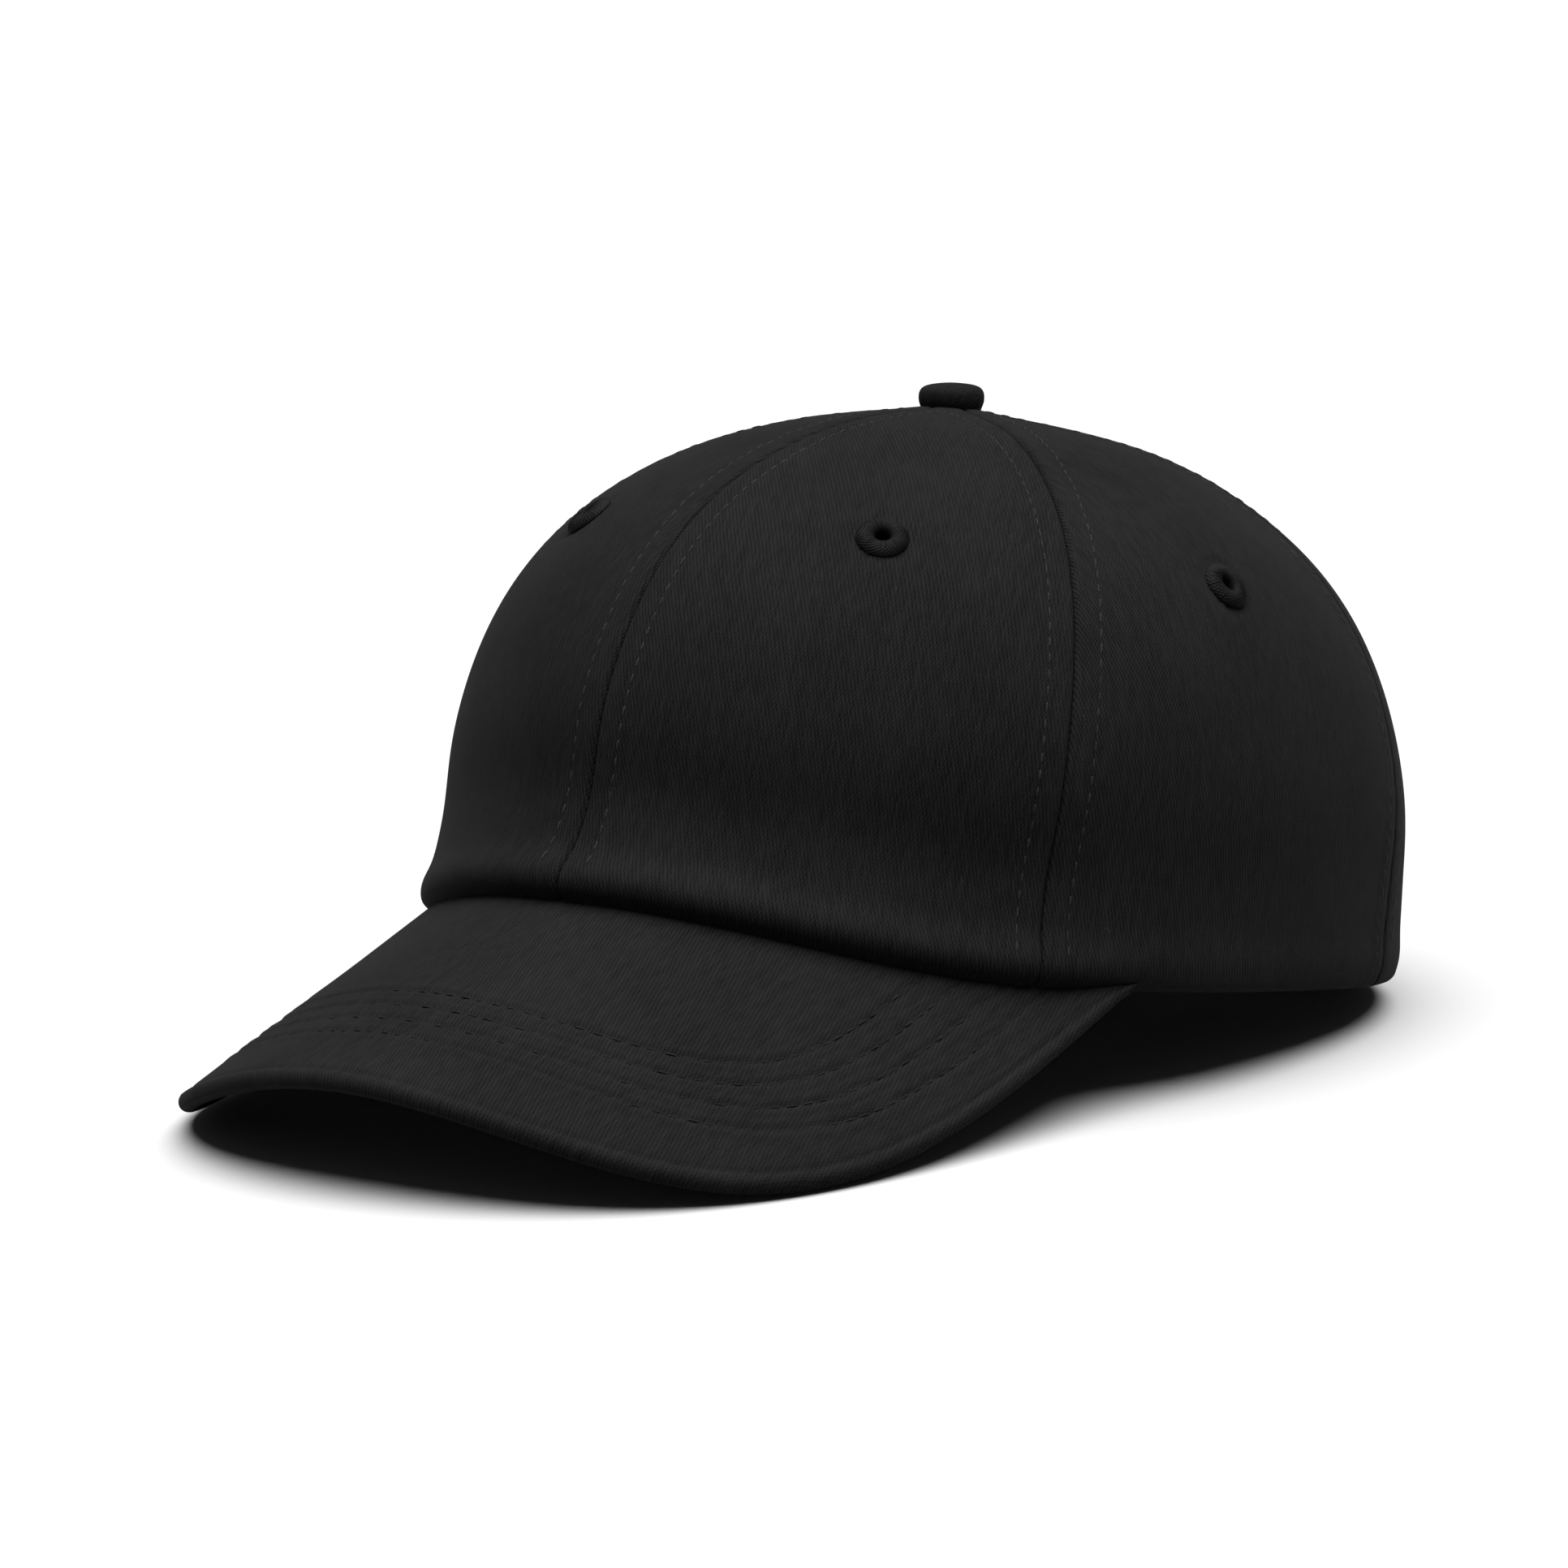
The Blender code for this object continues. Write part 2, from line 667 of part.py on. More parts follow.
def buckle_tab():
    """Loop of cloth from inside the right rear panel round the bar of the buckle."""
    low, high = STRAP_MIDDLE - TAB_WIDTH / 2, STRAP_MIDDLE + TAB_WIDTH / 2
    tail = -TAB_LENGTH
    # stations (distance past the bar towards the pin, distance out from the strap) on the cloth's faces
    outer = ((tail, 0.00145), (-0.0062, 0.00145), (-0.0032, 0.0025), (0.0003, 0.0025), (0.0007, 0.0021),
             (0.0007, 0.0007), (0.0003, 0.0003), (-0.0032, 0.0003), (-0.0062, 0.0003), (tail, 0.0003))
    inner = ((tail, 0.00105), (-0.0062, 0.00105), (-0.0032, 0.0021), (0.0000, 0.0021), (0.0003, 0.0018),
             (0.0003, 0.0010), (0.0000, 0.0007), (-0.0032, 0.0007), (-0.0062, 0.0007), (tail, 0.0007))

    def place(u, v, w):
        along, outward = path_at(outer if w > 0.5 else inner, u)
        angle = PIN_ANGLE + math.degrees((FRAME_BACK + BAR_WIDTH + along) / STRAP_RADIUS)
        return strap_point(angle, mix(low, high, v), outward)
    return block("buckle_tab", (COTTON_BLACK, 0.92), (3 * (len(outer) - 1), 1), place)


def buckle():
    """Metal frame with a pin, on which a latch turns and clamps the strap."""
    metal = BRASS
    foot = strap_point(PIN_ANGLE, STRAP_MIDDLE, 0.0)
    axis = guide("buckle_frame_axis", foot, math.atan(STRAP_LEAN), -PIN_ANGLE, CAP_FRAME)
    pin_axis = guide("latch_axis", (0, PIN_HEIGHT, 0), parent=axis)

    near, far = (FRAME_BACK, PLATE_INNER, -RAIL_OUTER), (FRAME_FRONT, RAIL_TOP, RAIL_OUTER)
    rail = box("buckle_frame", metal, near, far, axis)
    over = 0.001
    combine(rail, box_cutter("strap_way", (FRAME_BACK - over, PLATE_OUTER, -RAIL_INNER),
                             (FRAME_FRONT + over, RAIL_TOP + over, RAIL_INNER), axis))
    combine(rail, box_cutter("plate_window", (FRAME_BACK - over, PLATE_INNER - over, -RAIL_INNER),
                             (-0.0040, RAIL_TOP + over, RAIL_INNER), axis))
    combine(rail, box_cutter("tab_bar", (FRAME_BACK, 0.0006, -RAIL_OUTER + 0.0002),
                             (FRAME_BACK + BAR_WIDTH, 0.0013, RAIL_OUTER - 0.0002), axis), "UNION")
    for name, low, high in (("ear_low", -RAIL_OUTER, -RAIL_INNER), ("ear_high", RAIL_INNER, RAIL_OUTER)):
        ear = box_cutter(name, (-0.0017, PLATE_OUTER, low), (0.0017, PIN_HEIGHT + 0.0014, high), axis)
        combine(rail, ear, "UNION")
    frame_hole = round_cutter("frame_pin_hole", PIN_HOLE_RADIUS, 0.03, axis, 12)
    frame_hole.location.y = PIN_HEIGHT
    combine(rail, frame_hole)

    head = (0.0012, RAIL_OUTER + 0.0007, RAIL_OUTER + GAP)
    pin = ((0.0, head[1]), (head[0], head[1]), (head[0], head[2]), (PIN_RADIUS, head[2]),
           (PIN_RADIUS, -head[2]), (head[0], -head[2]), (head[0], -head[1]), (0.0, -head[1]))
    turned("buckle_pin", metal, pin, 12, pin_axis)

    low_face, high_face = 0.0005, BARREL_RADIUS
    latch = box("buckle_latch", metal, (-LATCH_LENGTH, low_face, -LATCH_HALF_WIDTH),
                (0.0, high_face, LATCH_HALF_WIDTH), pin_axis)
    barrel = round_cutter("latch_barrel", BARREL_RADIUS, 2 * LATCH_HALF_WIDTH + 0.0006, pin_axis, 16)
    combine(latch, barrel, "UNION")
    combine(latch, round_cutter("latch_pin_hole", PIN_HOLE_RADIUS, 0.03, pin_axis, 12))


# ---------------------------------------------------------------- standing on a table

def resting_tilt():
    """Angle by which the cap tips back until the visor's tips and the rear rim stand level."""
    heel = crown_surface(BACK_SEAM - OPENING_HALF_ANGLE, 0.0)
    tilt = 0.0
    for i in range(101):
        u = i / 50 - 1
        tip = visor_place(u, 0.0, 0.0, visor_thickness(u))
        tilt = max(tilt, math.atan2(heel.z - tip.z, heel.y - tip.y))
    return tilt


def stand_on_table():
    """Tip the cap, then move the origin under the middle of its bounding box."""
    CAP_FRAME.rotation_euler.x = -resting_tilt()
    bpy.context.view_layer.update()
    graph = bpy.context.evaluated_depsgraph_get()
    corners = []
    for item in PARTS.objects:
        shape = item.evaluated_get(graph).to_mesh()
        corners.extend(item.matrix_world @ vertex.co for vertex in shape.vertices)
        item.evaluated_get(graph).to_mesh_clear()
    low = [min(corner[i] for corner in corners) for i in range(3)]
    high = [max(corner[i] for corner in corners) for i in range(3)]
    CAP_FRAME.location = (-(low[0] + high[0]) / 2, -(low[1] + high[1]) / 2, -low[2])
    bpy.context.view_layer.update()


def main():
    """Build the cap and stand it on the table."""
    panels = crown_panels()
    linings = buckram()
    seam_tapes()
    sweatband()
    care_label()
    arch_binding()
    visor()
    button()
    eyelets(panels, linings)
    strap()
    buckle_tab()
    buckle()
    stand_on_table()


main()
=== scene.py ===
"""Six-panel baseball cap in black cotton twill: the cloth, thread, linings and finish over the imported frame.

Lengths are metres and angles degrees. Cloth is laid out in the cap's own level frame: the origin is the
middle of the rim, -Y the front, +X the wearer's left and +Z up. REST then stands it on the table.
"""
import json
import math

import bpy
import numpy as np
from mathutils import Matrix, Vector


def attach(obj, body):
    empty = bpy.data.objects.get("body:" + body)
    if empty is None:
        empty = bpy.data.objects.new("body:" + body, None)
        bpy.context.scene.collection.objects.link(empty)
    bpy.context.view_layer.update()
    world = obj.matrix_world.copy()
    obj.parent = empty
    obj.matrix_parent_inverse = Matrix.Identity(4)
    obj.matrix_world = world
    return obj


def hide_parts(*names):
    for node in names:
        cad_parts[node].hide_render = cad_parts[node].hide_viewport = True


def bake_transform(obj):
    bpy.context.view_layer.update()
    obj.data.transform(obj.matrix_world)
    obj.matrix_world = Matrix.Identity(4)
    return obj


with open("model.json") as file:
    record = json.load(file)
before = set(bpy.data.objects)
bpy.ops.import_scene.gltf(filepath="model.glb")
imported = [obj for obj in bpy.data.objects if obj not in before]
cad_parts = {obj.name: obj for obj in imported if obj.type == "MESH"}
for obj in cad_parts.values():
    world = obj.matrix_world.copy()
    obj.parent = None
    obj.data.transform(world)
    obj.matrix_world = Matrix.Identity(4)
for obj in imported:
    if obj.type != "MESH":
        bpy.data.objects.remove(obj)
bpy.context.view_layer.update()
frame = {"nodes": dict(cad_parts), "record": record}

# ---------------------------------------------------------------- the cap's measures, as in the CAD

RIM_FRONT, RIM_BACK, RIM_SIDE = 0.0999, 0.1005, 0.0849
RIM_FRONT_POWER, RIM_BACK_POWER = 1.815, 2.55
CROWN_HEIGHT = 0.0993
APEX_SHIFT = 0.0079
MERIDIAN_FRONT = ((0.928, 0.465), (1.014, 0.722), (0.513, 1.0))
MERIDIAN_SIDE = ((1.048, 0.327), (1.116, 0.912), (0.376, 1.0))
MERIDIAN_BACK = ((0.987, 0.171), (0.942, 0.782), (0.568, 1.0))
SIDE_SEAM_RIM, SIDE_SEAM_APEX, SIDE_SEAM_POWER = 53.9, 59.85, 0.71
REAR_SEAM = 120.3
BACK_SEAM = 180.0
VISOR_TOP, VISOR_SLOPE, VISOR_REACH = 0.0049, math.radians(27.3), 0.0649
VISOR_END, VISOR_SIDE_PULL = 67.0, 0.635
ARCH_DROP, ARCH_SPAN, ARCH_POWER = 0.0446, 0.085, 1.963
VISOR_THICK, VISOR_THICK_END, VISOR_TUCK = 0.0034, 0.0020, 0.0025
OPENING_HALF_ANGLE, OPENING_RISE = 22.6, 0.335
STRAP_AXIS_Y, STRAP_RADIUS, STRAP_LEAN = 0.0113, 0.0882, 0.02
STRAP_WIDTH, STRAP_THICK, STRAP_MIDDLE = 0.018, 0.0010, 0.013
STRAP_LEFT_ANGLE, STRAP_TAIL_ANGLE = 38.0, -41.0
PIN_ANGLE = -11.0
FRAME_BACK, BAR_WIDTH = -0.0090, 0.0013
TAB_WIDTH, TAB_LENGTH = 0.0164, 0.0230
BUTTON_HEIGHT, BUTTON_LIFT, BUTTON_LEAN = 0.0050, 0.0006, math.radians(6.0)
EYELET_HOLE = 0.0027     # radius of the hole in the cloth under an eyelet
FRONT_EYELET_RISE, SIDE_EYELET, REAR_EYELET = 0.537, (83.8, 0.484), (150.5, 0.50)
APEX_HOLE_RISE = 0.988
SIDES = (("left", 1), ("right", -1))

PANEL_THICK = 0.0008
SEAM_ROW = 0.0050        # stitch row from its seam
SEAM_GAP = 0.00010       # each panel's edge from the middle of its seam
STITCH_PITCH = 0.0031
WARP_PITCH, WEFT_PITCH = 0.00024, 0.00075


def smooth(low, high, value):
    """0 below low, 1 above high and a smooth rise between them."""
    x = np.clip((np.asarray(value, float) - low) / (high - low), 0, 1)
    return x * x * (3 - 2 * x)


def hump(value, middle, width):
    """A bell of height 1."""
    return np.exp(-((np.asarray(value, float) - middle) / width) ** 2)


def swell(value, depth, middle, width):
    """A bell of a given height, or of a negative one for a groove."""
    return depth * hump(value, middle, width)


def valley(distance, depth, width, power):
    """A sharp-bottomed dip, deepest at distance 0."""
    return depth * np.exp(-(distance / width) ** power)


def mix(a, b, amount):
    return a + (b - a) * amount


def unit(v):
    return v / np.maximum(np.linalg.norm(v, axis=-1, keepdims=True), 1e-12)


def points(x, y, z):
    return np.stack(np.broadcast_arrays(x, y, z), axis=-1).astype(float)


# ---------------------------------------------------------------- the cap's surfaces

def around(front, side, back, azimuth):
    """A value that goes smoothly from front over side to back."""
    a = np.radians(azimuth)
    even = (front + back + 2 * side) / 4
    return even + (front - back) / 2 * np.cos(a) + (front + back - 2 * side) / 4 * np.cos(2 * a)


def rim_radius(azimuth):
    """Radius of the rim's outline, seen from above."""
    c, s = np.cos(np.radians(azimuth)), np.sin(np.radians(azimuth))
    length = np.where(c > 0, RIM_FRONT, RIM_BACK)
    power = np.where(c > 0, RIM_FRONT_POWER, RIM_BACK_POWER)
    return (np.abs(c / length) ** power + np.abs(s / RIM_SIDE) ** power) ** (-1 / power)


def visor_point(x, reach, depth=0.0):
    """Point of the visor, reach down its slope from the front of the rim, depth under its top."""
    x, reach = np.asarray(x, float), np.asarray(reach, float)
    share = np.abs(x) / ARCH_SPAN
    drop = ARCH_DROP * share ** ARCH_POWER
    steep = np.sign(x) * ARCH_DROP * ARCH_POWER / ARCH_SPAN * share ** (ARCH_POWER - 1)
    length = np.sqrt(1 + steep ** 2)
    x = x - steep / length * depth
    fall = drop + depth / length
    y = -RIM_FRONT - reach * np.cos(VISOR_SLOPE) + fall * np.sin(VISOR_SLOPE)
    z = VISOR_TOP - reach * np.sin(VISOR_SLOPE) - fall * np.cos(VISOR_SLOPE)
    return points(x, y, z)


def rim_reach(x):
    """Reach at which the visor meets the rim."""
    drop = ARCH_DROP * (np.abs(x) / ARCH_SPAN) ** ARCH_POWER
    rim_y = -RIM_FRONT * (1 - np.minimum(np.abs(x) / RIM_SIDE, 1) ** RIM_FRONT_POWER) ** (1 / RIM_FRONT_POWER)
    return (-RIM_FRONT + drop * np.sin(VISOR_SLOPE) - rim_y) / np.cos(VISOR_SLOPE)


HALF_WIDTH = float(rim_radius(VISOR_END) * math.sin(math.radians(VISOR_END)))
END_REACH = float(rim_reach(HALF_WIDTH))
RIM_LEVEL = float(visor_point(HALF_WIDTH, END_REACH)[2])


def rim_height(azimuth):
    """Height of the crown's lower edge: it follows the visor, then stays level."""
    across = np.minimum(np.abs(rim_radius(azimuth) * np.sin(np.radians(azimuth))), HALF_WIDTH)
    on_visor = visor_point(across, rim_reach(across))[..., 2]
    return np.where(np.cos(np.radians(azimuth)) > 0, on_visor, RIM_LEVEL)


def crown_surface(azimuth, rise):
    """Point of the crown's smooth outside; rise runs from 0 at the rim to 1 at the apex."""
    azimuth, rise = np.broadcast_arrays(np.asarray(azimuth, float), np.asarray(rise, float))
    fall = 1 - rise
    weights = (4 * rise * fall ** 3, 6 * rise ** 2 * fall ** 2, 4 * rise ** 3 * fall)
    radius, height = fall ** 4, rise ** 4
    for weight, front, side, back in zip(weights, MERIDIAN_FRONT, MERIDIAN_SIDE, MERIDIAN_BACK):
        radius = radius + weight * around(front[0], side[0], back[0], azimuth)
        height = height + weight * around(front[1], side[1], back[1], azimuth)
    radius = radius * rim_radius(azimuth)
    base = rim_height(azimuth)
    a = np.radians(azimuth)
    y = -radius * np.cos(a) + APEX_SHIFT * height
    return points(radius * np.sin(a), y, base + (CROWN_HEIGHT - base) * height)


def crown_normal(azimuth, rise):
    """Outward unit normal of the crown's smooth surface."""
    step = 0.02
    rise = np.minimum(rise, 0.996)
    across = crown_surface(azimuth + step, rise) - crown_surface(azimuth - step, rise)
    up = crown_surface(azimuth, rise + step / 10) - crown_surface(azimuth, rise - step / 10)
    return unit(np.cross(across, up))


def metres_per_degree(azimuth, rise):
    """Length along the crown of one degree of azimuth."""
    across = crown_surface(azimuth + 0.1, rise) - crown_surface(azimuth - 0.1, rise)
    return np.linalg.norm(across, axis=-1) / 0.2


def side_seam(rise):
    """Azimuth of the seam between a front and a side panel."""
    return SIDE_SEAM_APEX + (SIDE_SEAM_RIM - SIDE_SEAM_APEX) * np.maximum(1 - rise, 0) ** SIDE_SEAM_POWER


def back_edge(rise):
    """Azimuth where a rear panel ends: at the opening below, at the back seam above."""
    share = np.clip(np.asarray(rise, float) / OPENING_RISE, 0, 1)
    return BACK_SEAM - OPENING_HALF_ANGLE * np.sqrt(1 - share ** 2)


def seam_distance(azimuth, rise):
    """Distance to the nearest seam between panels."""
    a = np.abs((np.asarray(azimuth, float) + 180) % 360 - 180)
    away = np.minimum(np.minimum(a, np.abs(a - side_seam(rise))), np.abs(a - REAR_SEAM))
    back = np.where(np.asarray(rise) > OPENING_RISE, 180 - a, 90)
    return np.minimum(away, back) * metres_per_degree(azimuth, rise)


CREASES = np.random.RandomState(11)
CREASE_WAVES = [(CREASES.uniform(-1, 1, 3), CREASES.uniform(0.035, 0.075), CREASES.uniform(0, 6.28))
                for _ in range(9)]


def soft_waves(p):
    """Slow unevenness of cloth, about -1 to 1."""
    total = 0
    for direction, length, phase in CREASE_WAVES:
        total = total + np.sin(p @ (direction / np.linalg.norm(direction)) * 2 * math.pi / length + phase)
    return total / 4.0


def eyelet_spot(place, sign):
    """Azimuth and rise of the eyelet in a panel."""
    front = (float(side_seam(FRONT_EYELET_RISE)) / 2, FRONT_EYELET_RISE)
    azimuth, rise = {"front": front, "side": SIDE_EYELET, "rear": REAR_EYELET}[place]
    return sign * azimuth, rise


EYELET_CENTRES = [crown_surface(*eyelet_spot(place, sign))
                  for place in ("front", "side", "rear") for _, sign in SIDES]

# Swells and dips of the crown's cloth: depth, where the middle lies, width
RIM_SWELL, RIM_DIP, RIM_TUCK = (0.0019, 0.0050, 0.0042), (0.0015, 0.0205, 0.0100), (0.0028, 0, 0.0016)
APEX_SWELL, EYELET_DIP = (0.0013, 0, 0.0085), (0.00045, 0.0053, 0.0009)
RIM_TURN = 0.0022        # radius of the lower edge where it is turned in
CREASE_DEPTH = 0.00030
# At a seam: depth, width and power of the sharp valley and of the hollow round it
SEAM_VALLEY, SEAM_HOLLOW = (0.00075, 0.00044, 1.6), (0.00018, 0.0014, 1.5)
ALLOWANCE = 0.00018      # swell over the seam allowance
ROW_GROOVE, ROW_PUCKER, SEAM_PUCKER = 0.00013, 0.00003, 0.00004


def crown_relief(azimuth, rise, seams=True):
    """How far the cloth stands out from the crown's smooth surface."""
    p = crown_surface(azimuth, rise)
    turned = (np.asarray(azimuth, float) + 180) % 360 - 180
    a = np.abs(turned)
    height = p[..., 2] - rim_height(azimuth)
    over_visor = 1 - smooth(60, 76, a)
    roll = mix(0.42, 1.0, over_visor) * mix(0.6, 1.0, 1 - smooth(110, 150, a))
    roll = roll * mix(1.3, 0.5, smooth(15, 50, -turned)) * mix(1.0, 0.77, smooth(45, 70, turned))
    out = roll * (swell(height, *RIM_SWELL) - swell(height, *RIM_DIP))
    out = out - over_visor * swell(height, *RIM_TUCK)
    edge = RIM_TURN - np.sqrt(np.maximum(RIM_TURN ** 2 - np.maximum(RIM_TURN - height, 0) ** 2, 0))
    out = out - (1 - over_visor) * edge
    out = out + swell(np.hypot(p[..., 0], p[..., 1] - APEX_SHIFT), *APEX_SWELL)
    for centre in EYELET_CENTRES:
        out = out - swell(np.linalg.norm(p - centre, axis=-1), *EYELET_DIP)
    below_apex = 1 - smooth(0.80, 0.97, rise)
    slack = mix(0.25, 1.0, smooth(50, 80, a)) * below_apex * smooth(0.0, 0.02, height)
    out = out + CREASE_DEPTH * slack * soft_waves(p)
    if seams:
        s = seam_distance(azimuth, rise)
        along = (p[..., 2] + 0.3 * p[..., 1]) * 2 * math.pi
        pucker = 0.5 * np.sin(along / STITCH_PITCH) + 0.5 * np.sin(along / 0.0077 + 1)
        near_top = 1 - smooth(0.90, 0.99, rise)
        out = out - (valley(s, *SEAM_VALLEY) + valley(s, *SEAM_HOLLOW)) * mix(0.5, 1, near_top)
        out = out + near_top * ALLOWANCE * (1 - smooth(0.0046, 0.0078, s))
        out = out - near_top * (ROW_GROOVE + ROW_PUCKER * pucker) * hump(s, SEAM_ROW, 0.00065)
        out = out + near_top * SEAM_PUCKER * pucker * hump(s, SEAM_ROW * 0.7, 0.0022)
    return out


def crown_skin(azimuth, rise, out=0.0, seams=True):
    """Point of the crown's cloth, or a distance out from it."""
    azimuth, rise = np.broadcast_arrays(np.asarray(azimuth, float), np.asarray(rise, float))
    relief = crown_relief(azimuth, rise, seams)
    return crown_surface(azimuth, rise) + crown_normal(azimuth, rise) * (relief + out)[..., None]


def visor_curve(u, half_width, front, end, pull=VISOR_SIDE_PULL):
    """(x, reach) on a line round the visor; u runs from -1 to 1."""
    v = np.abs(u)
    side = mix(end, front, pull)
    x = half_width * (1 - (1 - v) ** 3)
    reach = ((1 - v) ** 3 + 3 * v * (1 - v) ** 2) * front + 3 * v * v * (1 - v) * side + v ** 3 * end
    return np.stack([np.sign(u) * x, reach], axis=-1)


VISOR_ROWS = [(0.0709 - 0.0044 * k, 0.0483 - 0.0049 * k) for k in range(4)]


def visor_row(k, n):
    """(x, reach) along one stitch row, cut off where it goes under the crown."""
    half_width, front = VISOR_ROWS[k]
    line = visor_curve(np.linspace(-1, 1, n), half_width, front, float(rim_reach(half_width)) - 0.004, 0.66)
    return line[line[:, 1] > rim_reach(line[:, 0]) - 0.001]


def row_distance(x, reach):
    """Distance to the nearest stitch row of the visor, along its surface."""
    steep = ARCH_DROP * ARCH_POWER / ARCH_SPAN * (np.abs(x) / ARCH_SPAN) ** (ARCH_POWER - 1)
    stretch = np.sqrt(1 + steep ** 2)
    nearest = np.full(x.shape, 1.0)
    for k in range(len(VISOR_ROWS)):
        for px, pr in visor_row(k, 260):
            nearest = np.minimum(nearest, ((x - px) * stretch) ** 2 + (reach - pr) ** 2)
    return np.sqrt(nearest)


def strap_point(angle, height, outward=0.0):
    """Point of the strap's outer face; its angle is counted from the back, towards the wearer's left."""
    radius = STRAP_RADIUS + outward - STRAP_LEAN * (height - STRAP_MIDDLE)
    turn = np.radians(angle)
    return points(radius * np.sin(turn), STRAP_AXIS_Y + radius * np.cos(turn), RIM_LEVEL + height)


def rest_matrix():
    """Stands the level cap on the table, by the mount in the middle of its rim."""
    mount = next(m for m in frame["record"]["mounts"] if m["name"] == "head_opening")
    tilt = math.asin(-mount["axis"][1])
    turn = Matrix.Rotation(-tilt, 4, "X")
    place = Vector(mount["pos_m"]) - turn @ Vector((0, 0, RIM_LEVEL))
    return Matrix.Translation(place) @ turn


REST = rest_matrix()
REST_TURN = np.array(REST.to_3x3())
REST_PLACE = np.array(REST.translation)


def stand(p):
    """Points of the level cap, stood on the table."""
    return np.asarray(p, float) @ REST_TURN.T + REST_PLACE


# ---------------------------------------------------------------- meshes

def add_mesh(name, verts, faces, uvs, material, sharp=50):
    """A mesh object from faces of any size; uvs are metres of cloth for each vertex."""
    data = bpy.data.meshes.new(name)
    data.from_pydata(stand(verts).tolist(), [], faces.tolist() if isinstance(faces, np.ndarray) else faces)
    layer = data.uv_layers.new(name="Cloth")
    index = np.empty(len(data.loops), np.int32)
    data.loops.foreach_get("vertex_index", index)
    layer.data.foreach_set("uv", np.asarray(uvs, np.float32)[index].ravel())
    data.shade_smooth()
    data.set_sharp_from_angle(angle=math.radians(sharp))
    data.materials.append(material)
    item = bpy.data.objects.new(name, data)
    bpy.context.scene.collection.objects.link(item)
    return item


def grid_faces(rows, cols, start=0, flip=False, wrap=False):
    """Quads of a grid of vertices numbered row by row."""
    r, c = np.meshgrid(np.arange(rows - 1), np.arange(cols if wrap else cols - 1), indexing="ij")
    a = r * cols + c
    b = r * cols + (c + 1) % cols
    quads = np.stack([a, b, b + cols, a + cols], axis=-1).reshape(-1, 4) + start
    return quads[:, ::-1] if flip else quads


def hole_walls(keep, cols, n):
    """Quads between a shell's two layers, of n points each, round the cells that aren't kept."""
    r, c = np.nonzero(keep)
    corner = r * cols + c
    ends = {(-1, 0): (0, 1), (0, 1): (1, cols + 1), (1, 0): (cols + 1, cols), (0, -1): (cols, 0)}
    walls = []
    for (down, right), (first, last) in ends.items():
        rr, cc = r + down, c + right
        inside = (rr >= 0) & (rr < keep.shape[0]) & (cc >= 0) & (cc < keep.shape[1])
        beside_hole = inside & ~keep[np.clip(rr, 0, keep.shape[0] - 1), np.clip(cc, 0, keep.shape[1] - 1)]
        a, b = corner[beside_hole] + first, corner[beside_hole] + last
        walls.append(np.stack([b, a, a + n, b + n], axis=-1))
    return np.concatenate(walls)


def shell(name, outer, inner, uv, material, sharp=50, holes=()):
    """A closed thin piece between two grids of points.

    Rows run upwards and columns to the right, seen from outside. Holes are (centre, radius); the cells inside
    them are left out.
    """
    rows, cols = outer.shape[:2]
    n = rows * cols
    verts = np.concatenate([outer.reshape(-1, 3), inner.reshape(-1, 3)])
    middle = (outer[:-1, :-1] + outer[1:, 1:]) / 2
    keep = np.ones((rows - 1, cols - 1), bool)
    for centre, radius in holes:
        keep &= np.linalg.norm(middle - centre, axis=-1) > radius
    kept = keep.ravel()
    faces = [grid_faces(rows, cols)[kept], grid_faces(rows, cols, n, flip=True)[kept]]
    faces.append(hole_walls(keep, cols, n))
    index = np.arange(n).reshape(rows, cols)
    loop = np.concatenate([index[0, :-1], index[:-1, -1], index[-1, :0:-1], index[:0:-1, 0]])
    after = np.roll(loop, -1)
    faces.append(np.stack([loop, loop + n, after + n, after], axis=-1))
    uvs = np.concatenate([uv.reshape(-1, 2)] * 2)
    return add_mesh(name, verts, np.concatenate(faces), uvs, material, sharp)


def tube(rings):
    """Points, faces and cloth coordinates of a tube through rings of points, with both ends closed."""
    rows, cols = rings.shape[:2]
    step = np.linalg.norm(np.diff(rings, axis=0), axis=-1).mean(axis=1)
    along = np.concatenate([[0], np.cumsum(step)])
    girth = np.linalg.norm(np.roll(rings, 1, axis=1) - rings, axis=-1).sum(axis=1).mean()
    turn = np.linspace(0, 1, cols, endpoint=False)
    uv = np.stack(np.meshgrid(turn * girth, along), axis=-1).reshape(-1, 2)
    faces = grid_faces(rows, cols, wrap=True).tolist()
    faces.append(list(range(cols))[::-1])
    faces.append(list(range((rows - 1) * cols, rows * cols)))
    return rings.reshape(-1, 3), faces, uv


def arc_length(line):
    """Length along a line of points, up to each of them."""
    return np.concatenate([[0], np.cumsum(np.linalg.norm(np.diff(line, axis=0), axis=1))])


